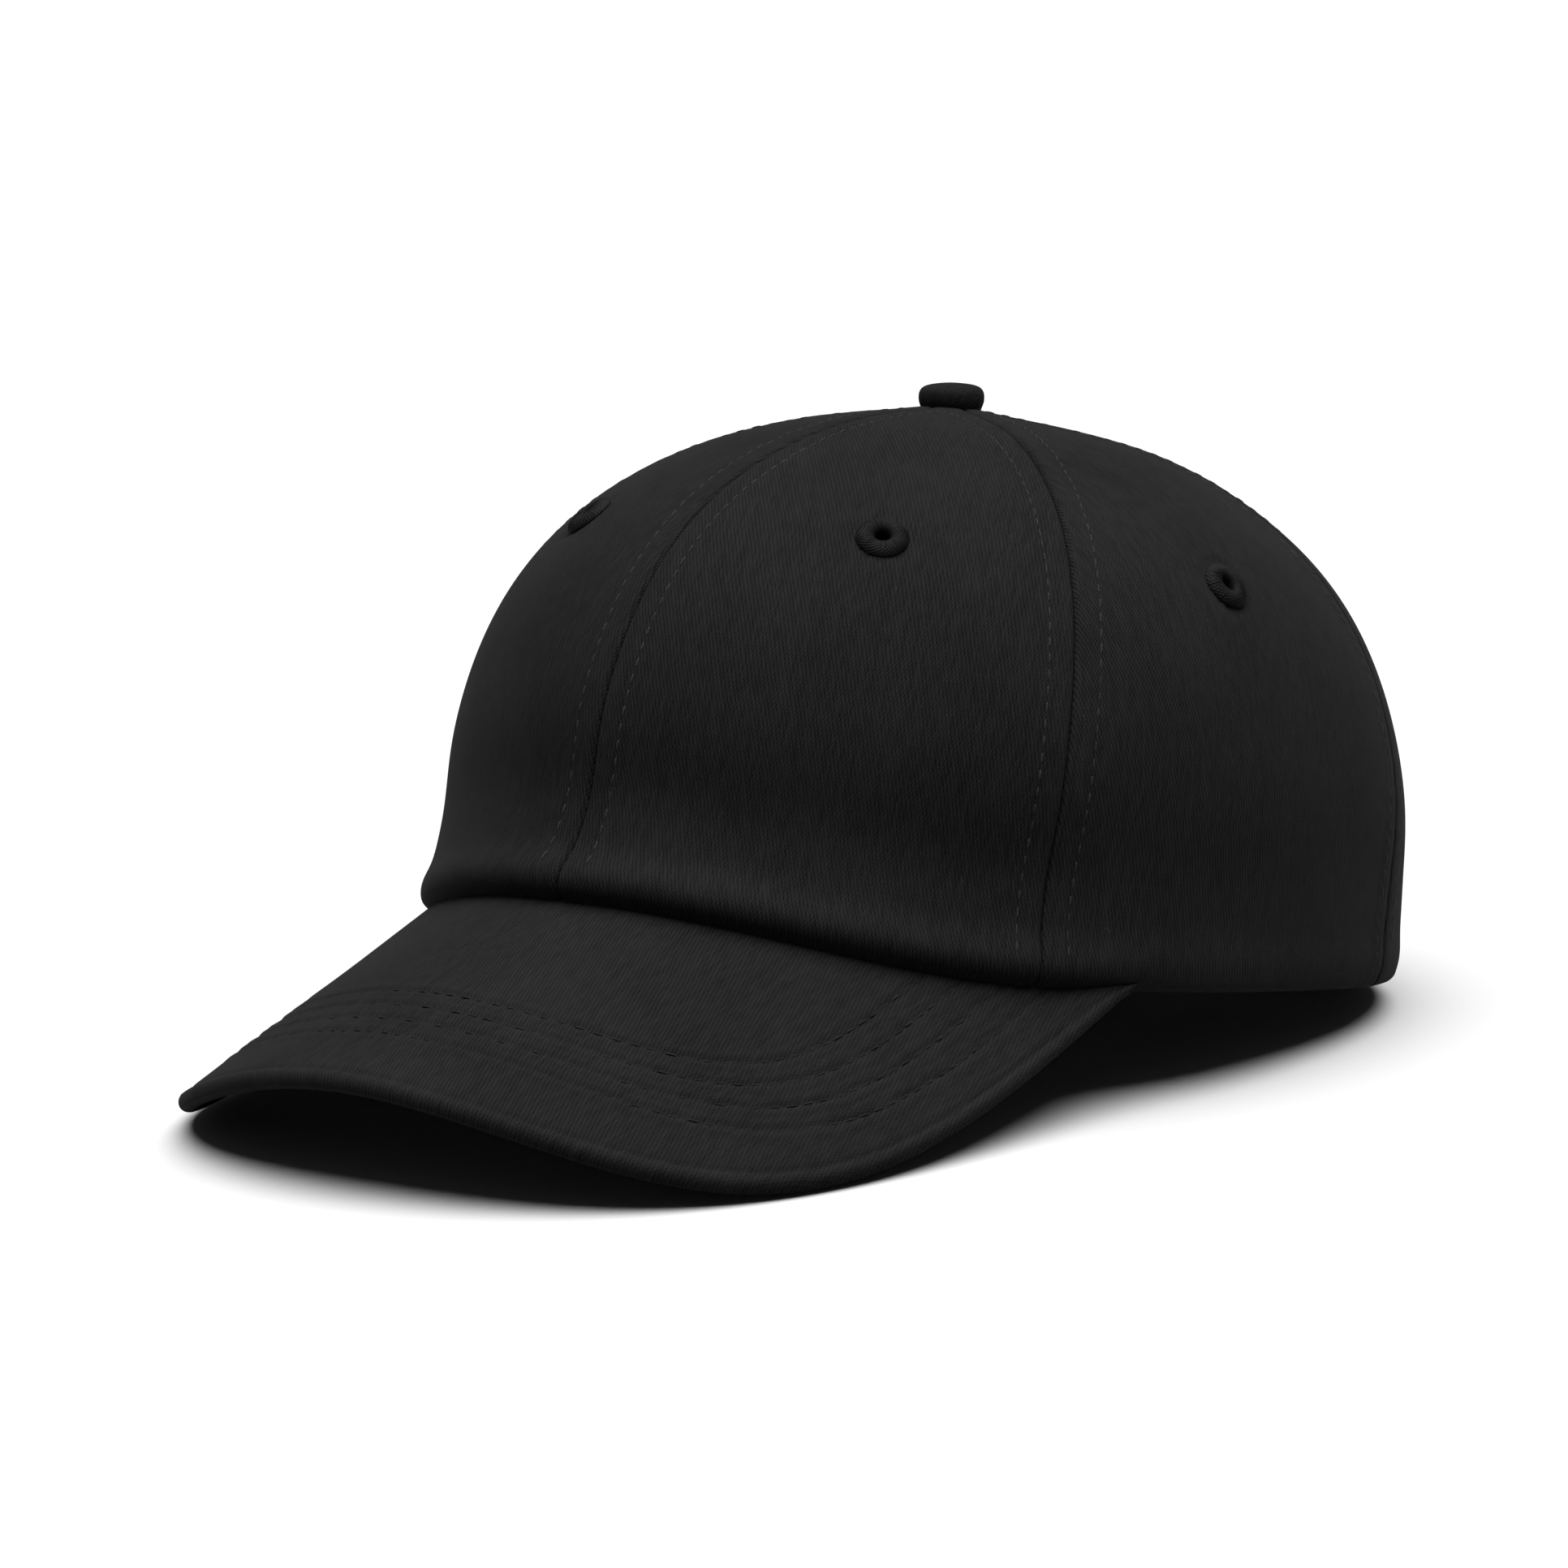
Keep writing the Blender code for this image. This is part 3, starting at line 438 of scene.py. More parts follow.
def stitches(name, runs, material, pitch=STITCH_PITCH, share=0.80, radius=0.00018, lift=0.00006):
    """Sewn thread: short rounded stitches along each run. A run is (line of points, outward normals)."""
    rings, sides = 7, 6
    t = np.linspace(0, 1, rings)
    swell = radius * np.sqrt(np.maximum(1 - np.abs(2 * t - 1) ** 5, 0.06))
    height = lift + radius * 0.2 - (np.abs(2 * t - 1) ** 4) * (lift + 1.6 * radius)
    turn = np.linspace(0, 2 * math.pi, sides, endpoint=False)
    verts, faces, uvs, count = [], [], [], 0
    random = np.random.RandomState(len(name) + 7 * len(runs))
    one = grid_faces(rings, sides, wrap=True)
    caps = (tuple(range(sides))[::-1], tuple(range((rings - 1) * sides, rings * sides)))
    for line, normal in runs:
        length = arc_length(line)
        number = max(int(length[-1] / pitch), 1)
        starts = (length[-1] - number * pitch) / 2 + pitch * np.arange(number) + pitch * (1 - share) / 2
        spots = starts[:, None] + pitch * share * t
        centre = np.stack([np.interp(spots, length, line[:, i]) for i in range(3)], axis=-1)
        up = unit(np.stack([np.interp(spots, length, normal[:, i]) for i in range(3)], axis=-1))
        ahead = unit(np.gradient(centre, axis=1))
        side = unit(np.cross(up, ahead))
        drift = 0.5 + 0.5 * np.sin(starts[:, None] * 2 * math.pi / 0.047 + random.uniform(0, 6))
        sunk = (random.uniform(-0.40, 0.10, (number, 1)) - 0.45 * drift) * radius
        aside = random.uniform(-0.25, 0.25, (number, 1)) * radius
        centre = centre + up * (height[None, :] + sunk)[..., None] + side * aside[..., None]
        size = random.uniform(0.78, 1.05, (number, 1)) * swell[None, :]
        spokes = side[:, :, None] * np.cos(turn)[:, None] + up[:, :, None] * np.sin(turn)[:, None]
        ring = centre[:, :, None] + size[:, :, None, None] * spokes
        verts.append(ring.reshape(-1, 3))
        uv = np.empty((number, rings, sides, 2))
        uv[..., 0] = turn * radius
        uv[..., 1] = spots[:, :, None]
        uvs.append(uv.reshape(-1, 2))
        for k in range(number):
            start = count + k * rings * sides
            faces.extend(map(tuple, (one + start).tolist()))
            faces.extend(tuple(i + start for i in cap) for cap in caps)
        count += number * rings * sides
    return add_mesh(name, np.concatenate(verts), faces, np.concatenate(uvs), material, 80)


# ---------------------------------------------------------------- materials

class Nodes:
    """A short way to write a material's nodes."""

    def __init__(self, name, base, roughness, metallic=0.0, specular=0.5, sheen=None):
        self.material = bpy.data.materials.new(name)
        self.material.use_nodes = True
        self.tree = self.material.node_tree
        self.shader = self.tree.nodes["Principled BSDF"]
        self.set(self.shader, {"Base Color": (*base, 1), "Roughness": roughness, "Metallic": metallic,
                               "Specular IOR Level": specular})
        if sheen:
            self.set(self.shader, {"Sheen Weight": sheen[0], "Sheen Roughness": sheen[1],
                                   "Sheen Tint": (*sheen[2], 1)})

    def set(self, node, values):
        for key, value in values.items():
            socket = node.inputs[key]
            if isinstance(value, bpy.types.NodeSocket):
                self.tree.links.new(value, socket)
            else:
                socket.default_value = value

    def add(self, kind, values=None, out=0, **properties):
        node = self.tree.nodes.new(kind)
        for key, value in properties.items():
            setattr(node, key, value)
        self.set(node, values or {})
        return node.outputs[out]

    def math(self, operation, a, b=0.0, c=0.0):
        return self.add("ShaderNodeMath", {0: a, 1: b, 2: c}, operation=operation)

    def cloth(self):
        """u and v of the cloth, in metres."""
        uv = self.add("ShaderNodeUVMap", uv_map="Cloth")
        split = self.tree.nodes.new("ShaderNodeSeparateXYZ")
        self.tree.links.new(uv, split.inputs[0])
        return uv, split.outputs[0], split.outputs[1]

    def noise(self, scale, detail=2.0, roughness=0.5, vector=None):
        vector = vector or self.add("ShaderNodeTexCoord", out=3)
        values = {"Scale": scale, "Detail": detail, "Roughness": roughness, "Vector": vector}
        return self.add("ShaderNodeTexNoise", values)

    def ramp(self, value, low, high, to_low=0.0, to_high=1.0):
        return self.add("ShaderNodeMapRange", {0: value, 1: low, 2: high, 3: to_low, 4: to_high})

    def blend(self, factor, a, b):
        node = self.tree.nodes.new("ShaderNodeMix")
        node.data_type = "RGBA"
        for index, value in ((0, factor), (6, a), (7, b)):
            socket = node.inputs[index]
            if isinstance(value, bpy.types.NodeSocket):
                self.tree.links.new(value, socket)
            elif index == 0:
                socket.default_value = value
            else:
                socket.default_value = (*value, 1)
        return node.outputs[2]

    def bump(self, height, distance):
        return self.add("ShaderNodeBump", {"Height": height, "Distance": distance, "Strength": 1.0})

    def done(self, colour=None, roughness=None, normal=None):
        for key, value in (("Base Color", colour), ("Roughness", roughness), ("Normal", normal)):
            if value is not None:
                self.set(self.shader, {key: value})
        return self.material


def yarn_profile(m, position):
    """Roundness of a yarn across its width, from 0 at its edge to 1 on its crest."""
    across = m.math("MULTIPLY_ADD", m.math("FRACT", position), 2.0, -1.0)
    return m.math("SQRT", m.math("MAXIMUM", m.math("SUBTRACT", 1.0, m.math("MULTIPLY", across, across)), 0.0))


def twill(name, dark, light, relief=0.00014, warp=WARP_PITCH, weft=WEFT_PITCH, roughness=0.85):
    """Two-up, one-down twill: warp floats step over by one yarn at each weft, which makes diagonal ribs."""
    m = Nodes(name, dark, roughness, specular=0.035, sheen=(0.008, 0.5, (0.55, 0.56, 0.58)))
    uv, u, v = m.cloth()
    sway = m.noise(55.0, 1.0, 0.5, uv)
    u = m.math("MULTIPLY_ADD", m.math("SUBTRACT", sway, 0.5), 0.0011, u)
    across = m.math("DIVIDE", u, warp)
    ahead = m.math("DIVIDE", v, weft)
    warp_number = m.math("FLOOR", across)
    # place along a float: 0 to 1 over three wefts, shifted by one weft for each warp yarn
    step = m.math("DIVIDE", m.math("ADD", ahead, warp_number), 3.0)
    place = m.math("FRACT", step)
    centred = m.math("ABSOLUTE", m.math("SUBTRACT", place, 0.5))
    lift = m.ramp(centred, 0.43, 0.24)
    lift.node.interpolation_type = "SMOOTHSTEP"
    round_warp = yarn_profile(m, across)
    warp_top = m.math("MULTIPLY", lift, m.math("MULTIPLY_ADD", round_warp, 0.65, 0.35))
    weft_top = m.math("MULTIPLY", yarn_profile(m, ahead), 0.30)
    height = m.math("MAXIMUM", warp_top, weft_top)
    fuzz = m.noise(5200.0, 2.0, 0.6, uv)
    height = m.math("MULTIPLY_ADD", fuzz, 0.35, height)
    normal = m.bump(height, relief)
    # colour: crests lighter and the gaps between yarns darker, as painted highlight and shade of the weave and
    # partly wear; yarns uneven, slow fading and a little lint
    yarn = m.add("ShaderNodeTexWhiteNoise", {"W": warp_number}, noise_dimensions="1D")
    slow = m.noise(38.0, 3.0, 0.55)
    spot = m.add("ShaderNodeCombineXYZ", {0: warp_number, 1: m.math("FLOOR", step)})
    float_tone = m.add("ShaderNodeTexWhiteNoise", {"Vector": spot}, noise_dimensions="2D")
    # the weave's height lightens the colour: painted highlight on the crests, painted shade in the gaps
    tone = m.math("MULTIPLY_ADD", height, 0.45, m.math("MULTIPLY", yarn, 0.10))
    tone = m.math("MULTIPLY_ADD", float_tone, 0.34, tone)
    tone = m.math("MULTIPLY_ADD", m.math("SUBTRACT", slow, 0.5), 0.55, tone)
    colour = m.blend(m.ramp(tone, 0.12, 0.95), dark, light)
    specks = m.ramp(m.noise(900.0, 3.0, 0.7), 0.70, 0.80, 0.0, 0.14)
    colour = m.blend(specks, colour, (0.085, 0.085, 0.09))
    rough = m.ramp(height, 0.0, 1.1, min(roughness + 0.12, 1.0), roughness - 0.06)
    return m.done(colour, rough, normal)


def thread_finish(name, dark, light, ply=0.00042, sheen=0.02, gloss=0.10):
    """Twisted thread: two plies wind round each other along its length."""
    m = Nodes(name, dark, 0.6, specular=gloss, sheen=(sheen, 0.4, (0.6, 0.6, 0.62)))
    uv, u, v = m.cloth()
    phase = m.math("ADD", m.math("DIVIDE", v, ply), m.math("DIVIDE", u, 0.00066))
    twist = m.math("MULTIPLY_ADD", m.math("SINE", m.math("MULTIPLY", phase, 6.2832)), 0.5, 0.5)
    fibre = m.noise(6000.0, 2.0, 0.6, uv)
    height = m.math("MULTIPLY_ADD", fibre, 0.3, twist)
    worn = m.ramp(m.noise(210.0, 2.0, 0.6), 0.35, 0.65, 0.15, 1.0)
    # colour follows the twist: lighter on each ply's crest, painted shade in the grooves between plies
    tone = m.math("MULTIPLY", worn, m.math("MULTIPLY_ADD", fibre, 0.5, m.math("MULTIPLY", twist, 0.5)))
    return m.done(m.blend(tone, dark, light), None, m.bump(height, 0.00006))


def plain_weave(name, dark, light, pitch, relief, roughness=0.85, open_share=0.0):
    """Plain weave, or an open stiff mesh where open_share is above 0."""
    m = Nodes(name, dark, roughness, specular=0.2, sheen=(0.04, 0.5, (0.6, 0.6, 0.62)))
    uv, u, v = m.cloth()
    across, ahead = m.math("DIVIDE", u, pitch), m.math("DIVIDE", v, pitch)
    number = m.math("ADD", m.math("FLOOR", across), m.math("FLOOR", ahead))
    checker = m.math("FRACT", m.math("MULTIPLY", number, 0.5))
    over = m.math("GREATER_THAN", checker, 0.25)
    a, b = yarn_profile(m, across), yarn_profile(m, ahead)
    warp = m.math("MULTIPLY", a, m.math("MULTIPLY_ADD", over, 0.4, 0.6))
    weft = m.math("MULTIPLY", b, m.math("MULTIPLY_ADD", over, -0.4, 1.0))
    height = m.math("MAXIMUM", warp, weft)
    if open_share:
        height = m.ramp(height, open_share, 1.0)
    fuzz = m.noise(4200.0, 2.0, 0.6, uv)
    height = m.math("MULTIPLY_ADD", fuzz, 0.25, height)
    slow = m.noise(45.0, 3.0, 0.5)
    # colour follows the weave's height: lighter on the crests, painted shade in the gaps between yarns
    tone = m.math("MULTIPLY_ADD", m.math("SUBTRACT", slow, 0.5), 0.5, height)
    return m.done(m.blend(m.ramp(tone, 0.1, 1.1), dark, light), None, m.bump(height, relief))


def metal(name, dark, light, roughness):
    """Antiqued or plain pressed metal: darker in its hollows, rubbed bright on its edges, finely brushed."""
    m = Nodes(name, light, roughness, metallic=1.0)
    place = m.add("ShaderNodeTexCoord", out=3)
    edge = m.add("ShaderNodeNewGeometry", out=7)
    stain = m.noise(420.0, 4.0, 0.6, place)
    worn = m.math("MULTIPLY_ADD", m.math("SUBTRACT", edge, 0.5), 5.0, stain)
    brushed = m.add("ShaderNodeMapping", {"Vector": place, "Scale": (1.0, 1.0, 0.08)})
    scratch = m.noise(2600.0, 2.0, 0.7, brushed)
    colour = m.blend(m.ramp(worn, 0.35, 0.75), dark, light)
    rough = m.math("MULTIPLY_ADD", scratch, 0.28, roughness - 0.12)
    return m.done(colour, rough, m.bump(m.math("ADD", scratch, stain), 0.00003))


def board_finish():
    """Natural polyethylene sheet, faintly mottled."""
    m = Nodes("board", (0.62, 0.61, 0.57), 0.42)
    mottle = m.noise(160.0, 3.0, 0.5)
    colour = m.blend(mottle, (0.60, 0.59, 0.55), (0.70, 0.69, 0.66))
    return m.done(colour, m.ramp(mottle, 0.2, 0.8, 0.35, 0.5), m.bump(mottle, 0.00005))


LOOKS = {
    "twill": twill("twill", (0.0004, 0.0004, 0.0004), (0.0060, 0.0060, 0.0061)),
    "thread": thread_finish("thread", (0.0022, 0.0022, 0.0023), (0.0112, 0.0112, 0.0116)),
    # the visor's thread, darker than the crown's: painted shade of the grooves it lies in
    "groove_shaded_thread": thread_finish("groove_shaded_thread", (0.0012, 0.0012, 0.0012), (0.0070, 0.0070, 0.0072),
                                 gloss=0.05),
    "eyelet_thread": thread_finish("eyelet_thread", (0.0008, 0.0008, 0.0008), (0.0052, 0.0052, 0.0053),
                                   0.0006, 0.002, 0.03),
    "tape": plain_weave("tape", (0.006, 0.006, 0.0065), (0.022, 0.022, 0.023), 0.0006, 0.00008),
    "buckram": plain_weave("buckram", (0.008, 0.008, 0.0085), (0.034, 0.034, 0.036), 0.0016, 0.00022,
                           0.7, 0.45),
    "sweatband": twill("sweatband_twill", (0.005, 0.005, 0.0055), (0.020, 0.020, 0.021),
                       0.0001, 0.00030, 0.00045),
    "label": plain_weave("label_satin", (0.50, 0.49, 0.47), (0.66, 0.65, 0.62), 0.00026, 0.00003, 0.5),
    "brass": metal("antique_brass", (0.050, 0.036, 0.020), (0.27, 0.20, 0.115), 0.42),
    "steel": metal("pressed_steel", (0.33, 0.33, 0.34), (0.56, 0.56, 0.57), 0.36),
    "board": board_finish(),
}


# ---------------------------------------------------------------- crown

def rise_rows(azimuth, heights, last, step):
    """Rises at given heights over the rim, then at equal steps of length up to last."""
    table = np.linspace(0, last, 2400)
    length = arc_length(crown_surface(azimuth, table))
    low = np.interp(heights, length, table)
    count = max(int((length[-1] - heights[-1]) / step), 4)
    above = np.interp(np.linspace(heights[-1], length[-1], count + 1)[1:], length, table)
    return np.concatenate([low, above])


RIM_STEPS = np.array([0, 0.2, 0.45, 0.75, 1.1, 1.5, 1.95, 2.45, 3.0, 3.7, 4.5, 5.4, 6.4, 7.5]) / 1000
SEAM_STEPS = np.array([0, 0.18, 0.4, 0.65, 0.95, 1.35, 1.9, 2.6, 3.4, 4.1, 4.55, 4.85, 5.15, 5.5, 6.0, 6.8,
                       7.8]) / 1000


def seam_columns(width):
    """Distances from one seam to the other: close together near both, even between."""
    fine = SEAM_STEPS * min(1.0, width * 0.40 / SEAM_STEPS[-1])
    centre = np.linspace(fine[-1], width - fine[-1], 64)[1:-1]
    return np.concatenate([fine, centre, width - fine[::-1]])


def panel_grid(start, end, rises):
    """Azimuths, rises and cloth coordinates of a panel between azimuths start(rise) and end(rise)."""
    azimuths, across = [], []
    for rise in rises:
        a, b = float(start(rise)), float(end(rise))
        sweep = np.linspace(a, b, 80)
        length = arc_length(crown_surface(sweep, rise))
        s = SEAM_GAP + seam_columns(length[-1] - 2 * SEAM_GAP)
        azimuths.append(np.interp(s, length, sweep))
        across.append(s - length[-1] / 2)
    azimuths = np.array(azimuths)
    columns = azimuths.shape[1]
    up = arc_length(crown_surface(azimuths[:, columns // 2], rises))
    uv = np.stack([np.array(across), np.repeat(up[:, None], columns, axis=1)], axis=-1)
    return azimuths, np.repeat(rises[:, None], columns, axis=1), uv


def eyelet_hole(place, sign):
    """Centre and radius of the hole under an eyelet's ring."""
    return crown_skin(*eyelet_spot(place, sign), seams=False), EYELET_HOLE


def crown_panels():
    """Six panels of twill, each a thin closed shell with its lower edge turned in."""
    for side, sign in SIDES:
        spans = {
            "front": (lambda r: 0.0, side_seam, 27.0),
            "side": (side_seam, lambda r: REAR_SEAM, 87.0),
            "rear": (lambda r: REAR_SEAM, back_edge, 150.0),
        }
        for place, (low, high, middle) in spans.items():
            rises = rise_rows(middle, RIM_STEPS, APEX_HOLE_RISE, 0.00115)
            if place == "rear":
                rises = np.unique(np.concatenate([rises, OPENING_RISE - 0.0006 * np.arange(1, 7) ** 2]))
            azimuth, rise, uv = panel_grid(low, high, rises)
            if sign < 0:
                azimuth, rise, uv = -azimuth[:, ::-1], rise[:, ::-1], uv[:, ::-1] * np.array((-1, 1))
            name = f"cloth_panel_{place}_{side}"
            outer = crown_skin(azimuth, rise)
            inner = crown_skin(azimuth, rise, -PANEL_THICK - 0.0001, seams=False)
            panel = shell(name, outer, inner, uv, LOOKS["twill"], holes=[eyelet_hole(place, sign)])
            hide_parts(f"crown_panel_{place}_{side}")
            bind(panel, name == "cloth_panel_rear_left")


def bind(item, drawn):
    """Tie a piece to the cap; cloth at the left of the back opening, which the strap draws along, is left
    untied, its place baked into its points.
    """
    if drawn:
        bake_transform(item)
    else:
        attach(item, "cap")


def crown_stitches():
    """Two rows along every seam, outside through the cloth and inside through the tape."""
    lines = {
        "front": (lambda r: np.zeros_like(r), 0.0),
        "side": (side_seam, 0.0),
        "rear": (lambda r: np.full_like(r, REAR_SEAM), 0.0),
        "back": (lambda r: np.full_like(r, BACK_SEAM), OPENING_RISE + 0.015),
    }
    for side, sign in SIDES:
        for place, (seam, low) in lines.items():
            if sign < 0 and place in ("front", "back"):
                continue
            start = 0.035 if place in ("front", "side") else 0.012
            rise = np.linspace(max(low, start), 0.952, 260)
            outside, inside = [], []
            for hand in (-1, 1):
                azimuth = sign * (seam(rise) + hand * SEAM_ROW / metres_per_degree(sign * seam(rise), rise))
                normal = crown_normal(azimuth, rise)
                outside.append((crown_skin(azimuth, rise), normal))
                inside.append((crown_skin(azimuth, rise, -INNER_ROW, seams=False), -normal))
            label = place if place in ("front", "back") else f"{place}_{side}"
            for where, runs in (("outside", outside), ("inside", inside)):
                row = stitches(f"stitches_{label}_{where}", runs, LOOKS["thread"])
                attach(row, "cap")


# Depths under the crown's outside of the mesh's two faces, the tape's two faces and the inner stitch rows
MESH_OUTER, MESH_INNER = 0.00112, 0.00172
TAPE_OUTER, TAPE_INNER, INNER_ROW = 0.00195, 0.00240, 0.00265
TAPE_HALF_WIDTH = 0.0070


def linings():
    """Stiff mesh behind the front panels and a tape over each seam inside."""
    for side, sign in SIDES:
        rises = rise_rows(27.0, RIM_STEPS[::3] + 0.0026, 0.90, 0.0015)
        azimuth, rise, uv = panel_grid(lambda r: 0.2, lambda r: side_seam(r) - 0.2, rises)
        if sign < 0:
            azimuth, rise, uv = -azimuth[:, ::-1], rise[:, ::-1], uv[:, ::-1]
        outer = crown_skin(azimuth, rise, -MESH_OUTER, seams=False)
        inner = crown_skin(azimuth, rise, -MESH_INNER, seams=False)
        hole = (crown_skin(*eyelet_spot("front", sign), -0.0011, seams=False), 0.0034)
        mesh = shell(f"buckram_cloth_{side}", outer, inner, uv, LOOKS["buckram"], holes=[hole])
        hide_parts(f"front_buckram_{side}")
        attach(mesh, "cap")
    seams = {"seam_tape_front": (lambda r: 0 * r, 0.0),
             "seam_tape_back": (lambda r: 0 * r + BACK_SEAM, 0.355)}
    for side, sign in SIDES:
        seams[f"seam_tape_side_{side}"] = (lambda r, s=sign: s * side_seam(r), 0.0)
        seams[f"seam_tape_rear_{side}"] = (lambda r, s=sign: s * REAR_SEAM + 0 * r, 0.0)
    for name, (seam, low) in seams.items():
        over_visor = name in ("seam_tape_front", "seam_tape_side_left", "seam_tape_side_right")
        rise = np.linspace(max(low, 0.03 if over_visor else 0.008), 0.955, 150)
        u = np.linspace(-1, 1, 17)
        per_degree = metres_per_degree(seam(rise), rise)
        half = np.minimum(TAPE_HALF_WIDTH / per_degree, 24.0)
        azimuth = seam(rise)[:, None] + half[:, None] * u
        grid = np.repeat(rise[:, None], len(u), axis=1)
        up = arc_length(crown_surface(seam(rise), rise))
        uv = np.stack([np.outer(half * per_degree, u), np.repeat(up[:, None], len(u), axis=1)], axis=-1)
        bow = 0.00022 * (1 - u ** 4) + swell(np.abs(u), 0.00012, 0, 0.25)
        bow = bow - swell(np.abs(u), 0.00014, SEAM_ROW / TAPE_HALF_WIDTH, 0.1)
        outer = crown_skin(azimuth, grid, -TAPE_OUTER - 0.00012 * np.abs(u) ** 8, seams=False)
        inner = crown_skin(azimuth, grid, -TAPE_INNER - bow, seams=False)
        tape = shell(f"{name}_cloth", outer, inner, uv, LOOKS["tape"])
        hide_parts(name)
        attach(tape, "cap")


# ---------------------------------------------------------------- sweatband and label

BAND_END = BACK_SEAM - OPENING_HALF_ANGLE - 1.2
BAND_TOP = 0.0318
BAND_ROWS = (0.0045, BAND_TOP - 0.0042)
BAND_MIDDLE = 0.00045    # the middle of the folded band from the face of the lining


def band_depth(azimuth, height):
    """Depth of the sweatband: sewn to the rim at its foot, further in where the strap lies behind it."""
    a = np.abs(azimuth)
    full = mix(0.0030, 0.0068, smooth(122, 138, a))
    return mix(0.0011, full, smooth(0.0, 0.0040, height))


def band_rise(azimuth, height):
    """Rise at a height over the rim."""
    table = np.linspace(0, 0.7, 500)
    azimuth, height = np.broadcast_arrays(azimuth, height)
    out = np.empty(azimuth.shape)
    for index, a in enumerate(azimuth[0]):
        column = crown_surface(a, table)[:, 2]
        out[:, index] = np.interp(height[:, index], column - column[0], table)
    return out


def band_skin(azimuth, rise, height, inward=0.0):
    """Point on the face of the sweatband that touches the head."""
    p = crown_surface(azimuth, rise)
    wave = 0.00022 * soft_waves(p * 1.7) * smooth(0.004, 0.015, height)
    rows = 0.00014 * (hump(height, BAND_ROWS[0], 0.0007) + hump(height, BAND_ROWS[1], 0.0006))
    dip = np.maximum(-crown_relief(azimuth, rise, seams=False), 0)
    depth = band_depth(azimuth, height) + dip - wave - rows + inward
    return p - crown_normal(azimuth, rise) * depth[..., None]


def sweatband():
    """Folded band round the inside of the rim, in two lengths that meet behind the left ear."""
    heights = np.concatenate([[0, 0.4, 0.9, 1.5, 2.2, 3.0, 3.6, 4.1, 4.5, 4.9, 5.5], np.linspace(6.5, 26, 15),
                              [26.8, 27.2, 27.6, 28.0, 28.6, 29.4, 30.2, 30.9, 31.4, 31.7]]) / 1000
    spans = {"sweatband_cloth": (-BAND_END, REAR_SEAM - 3), "sweatband_cloth_left": (REAR_SEAM - 3, BAND_END)}
    for name, (low, high) in spans.items():
        azimuths = np.linspace(low, high, int((high - low) * 1.4))
        azimuth, height = np.meshgrid(azimuths, heights)
        rise = band_rise(azimuth, height)
        length = arc_length(crown_surface(azimuths, 0.0))
        uv = np.stack([np.repeat(length[None], len(heights), axis=0), height], axis=-1)
        roll = np.maximum(height - 0.0290, 0) / 0.0028
        plump = 0.00042 + 0.00020 * np.sqrt(np.maximum(1 - roll ** 2, 0))
        plump = plump - 0.00034 * smooth(BAND_TOP - 0.0009, BAND_TOP, height)
        outer = band_skin(azimuth, rise, height, BAND_MIDDLE - plump)
        inner = band_skin(azimuth, rise, height, BAND_MIDDLE + plump)
        band = shell(name, outer, inner, uv, LOOKS["sweatband"], 70)
        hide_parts("sweatband")
        drawn = name.endswith("left")
        bind(band, drawn)
        runs = []
        for level in BAND_ROWS:
            a = np.linspace(low + 0.6, high - 0.6, 500)
            h = np.full_like(a, level)
            r = band_rise(a[None], h[None])[0]
            runs.append((band_skin(a, r, h, BAND_MIDDLE + 0.00062), -crown_normal(a, r)))
        row = stitches(f"{name}_stitches", runs, LOOKS["thread"], pitch=0.0034)
        bind(row, drawn)


def care_label():
    """Blank woven label, sewn to the sweatband at its two ends."""
    azimuths, heights = np.linspace(89.4, 106.6, 33), np.linspace(0.0085, 0.0255, 25)
    azimuth, height = np.meshgrid(azimuths, heights)
    rise = band_rise(azimuth, height)
    u, v = np.meshgrid(np.linspace(-1, 1, 33), np.linspace(-1, 1, 25))
    gap = 0.00100 + 0.00035 * (1 - u ** 4) * (0.6 + 0.4 * np.sin(2.2 * v + 0.6)) + 0.00018 * v ** 6
    uv = np.stack([u * 0.0125, v * 0.0085], axis=-1)
    outer = band_skin(azimuth, rise, height, gap + 0.00015)
    inner = band_skin(azimuth, rise, height, gap + 0.00042 - 0.00016 * np.maximum(np.abs(u), np.abs(v)) ** 12)
    label = shell("label_cloth", outer, inner, uv, LOOKS["label"], 60)
    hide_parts("care_label")
    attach(label, "cap")
    runs = []
    for spot in (89.9, 106.1):
        h = np.linspace(0.0090, 0.0250, 60)
        a = np.full_like(h, spot)
        r = band_rise(a[None], h[None])[0]
        runs.append((band_skin(a, r, h, 0.00155), -crown_normal(a, r)))
    row = stitches("label_stitches", runs, LOOKS["thread"], 0.0022, radius=0.00014)
    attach(row, "cap")


# ---------------------------------------------------------------- binding of the back opening

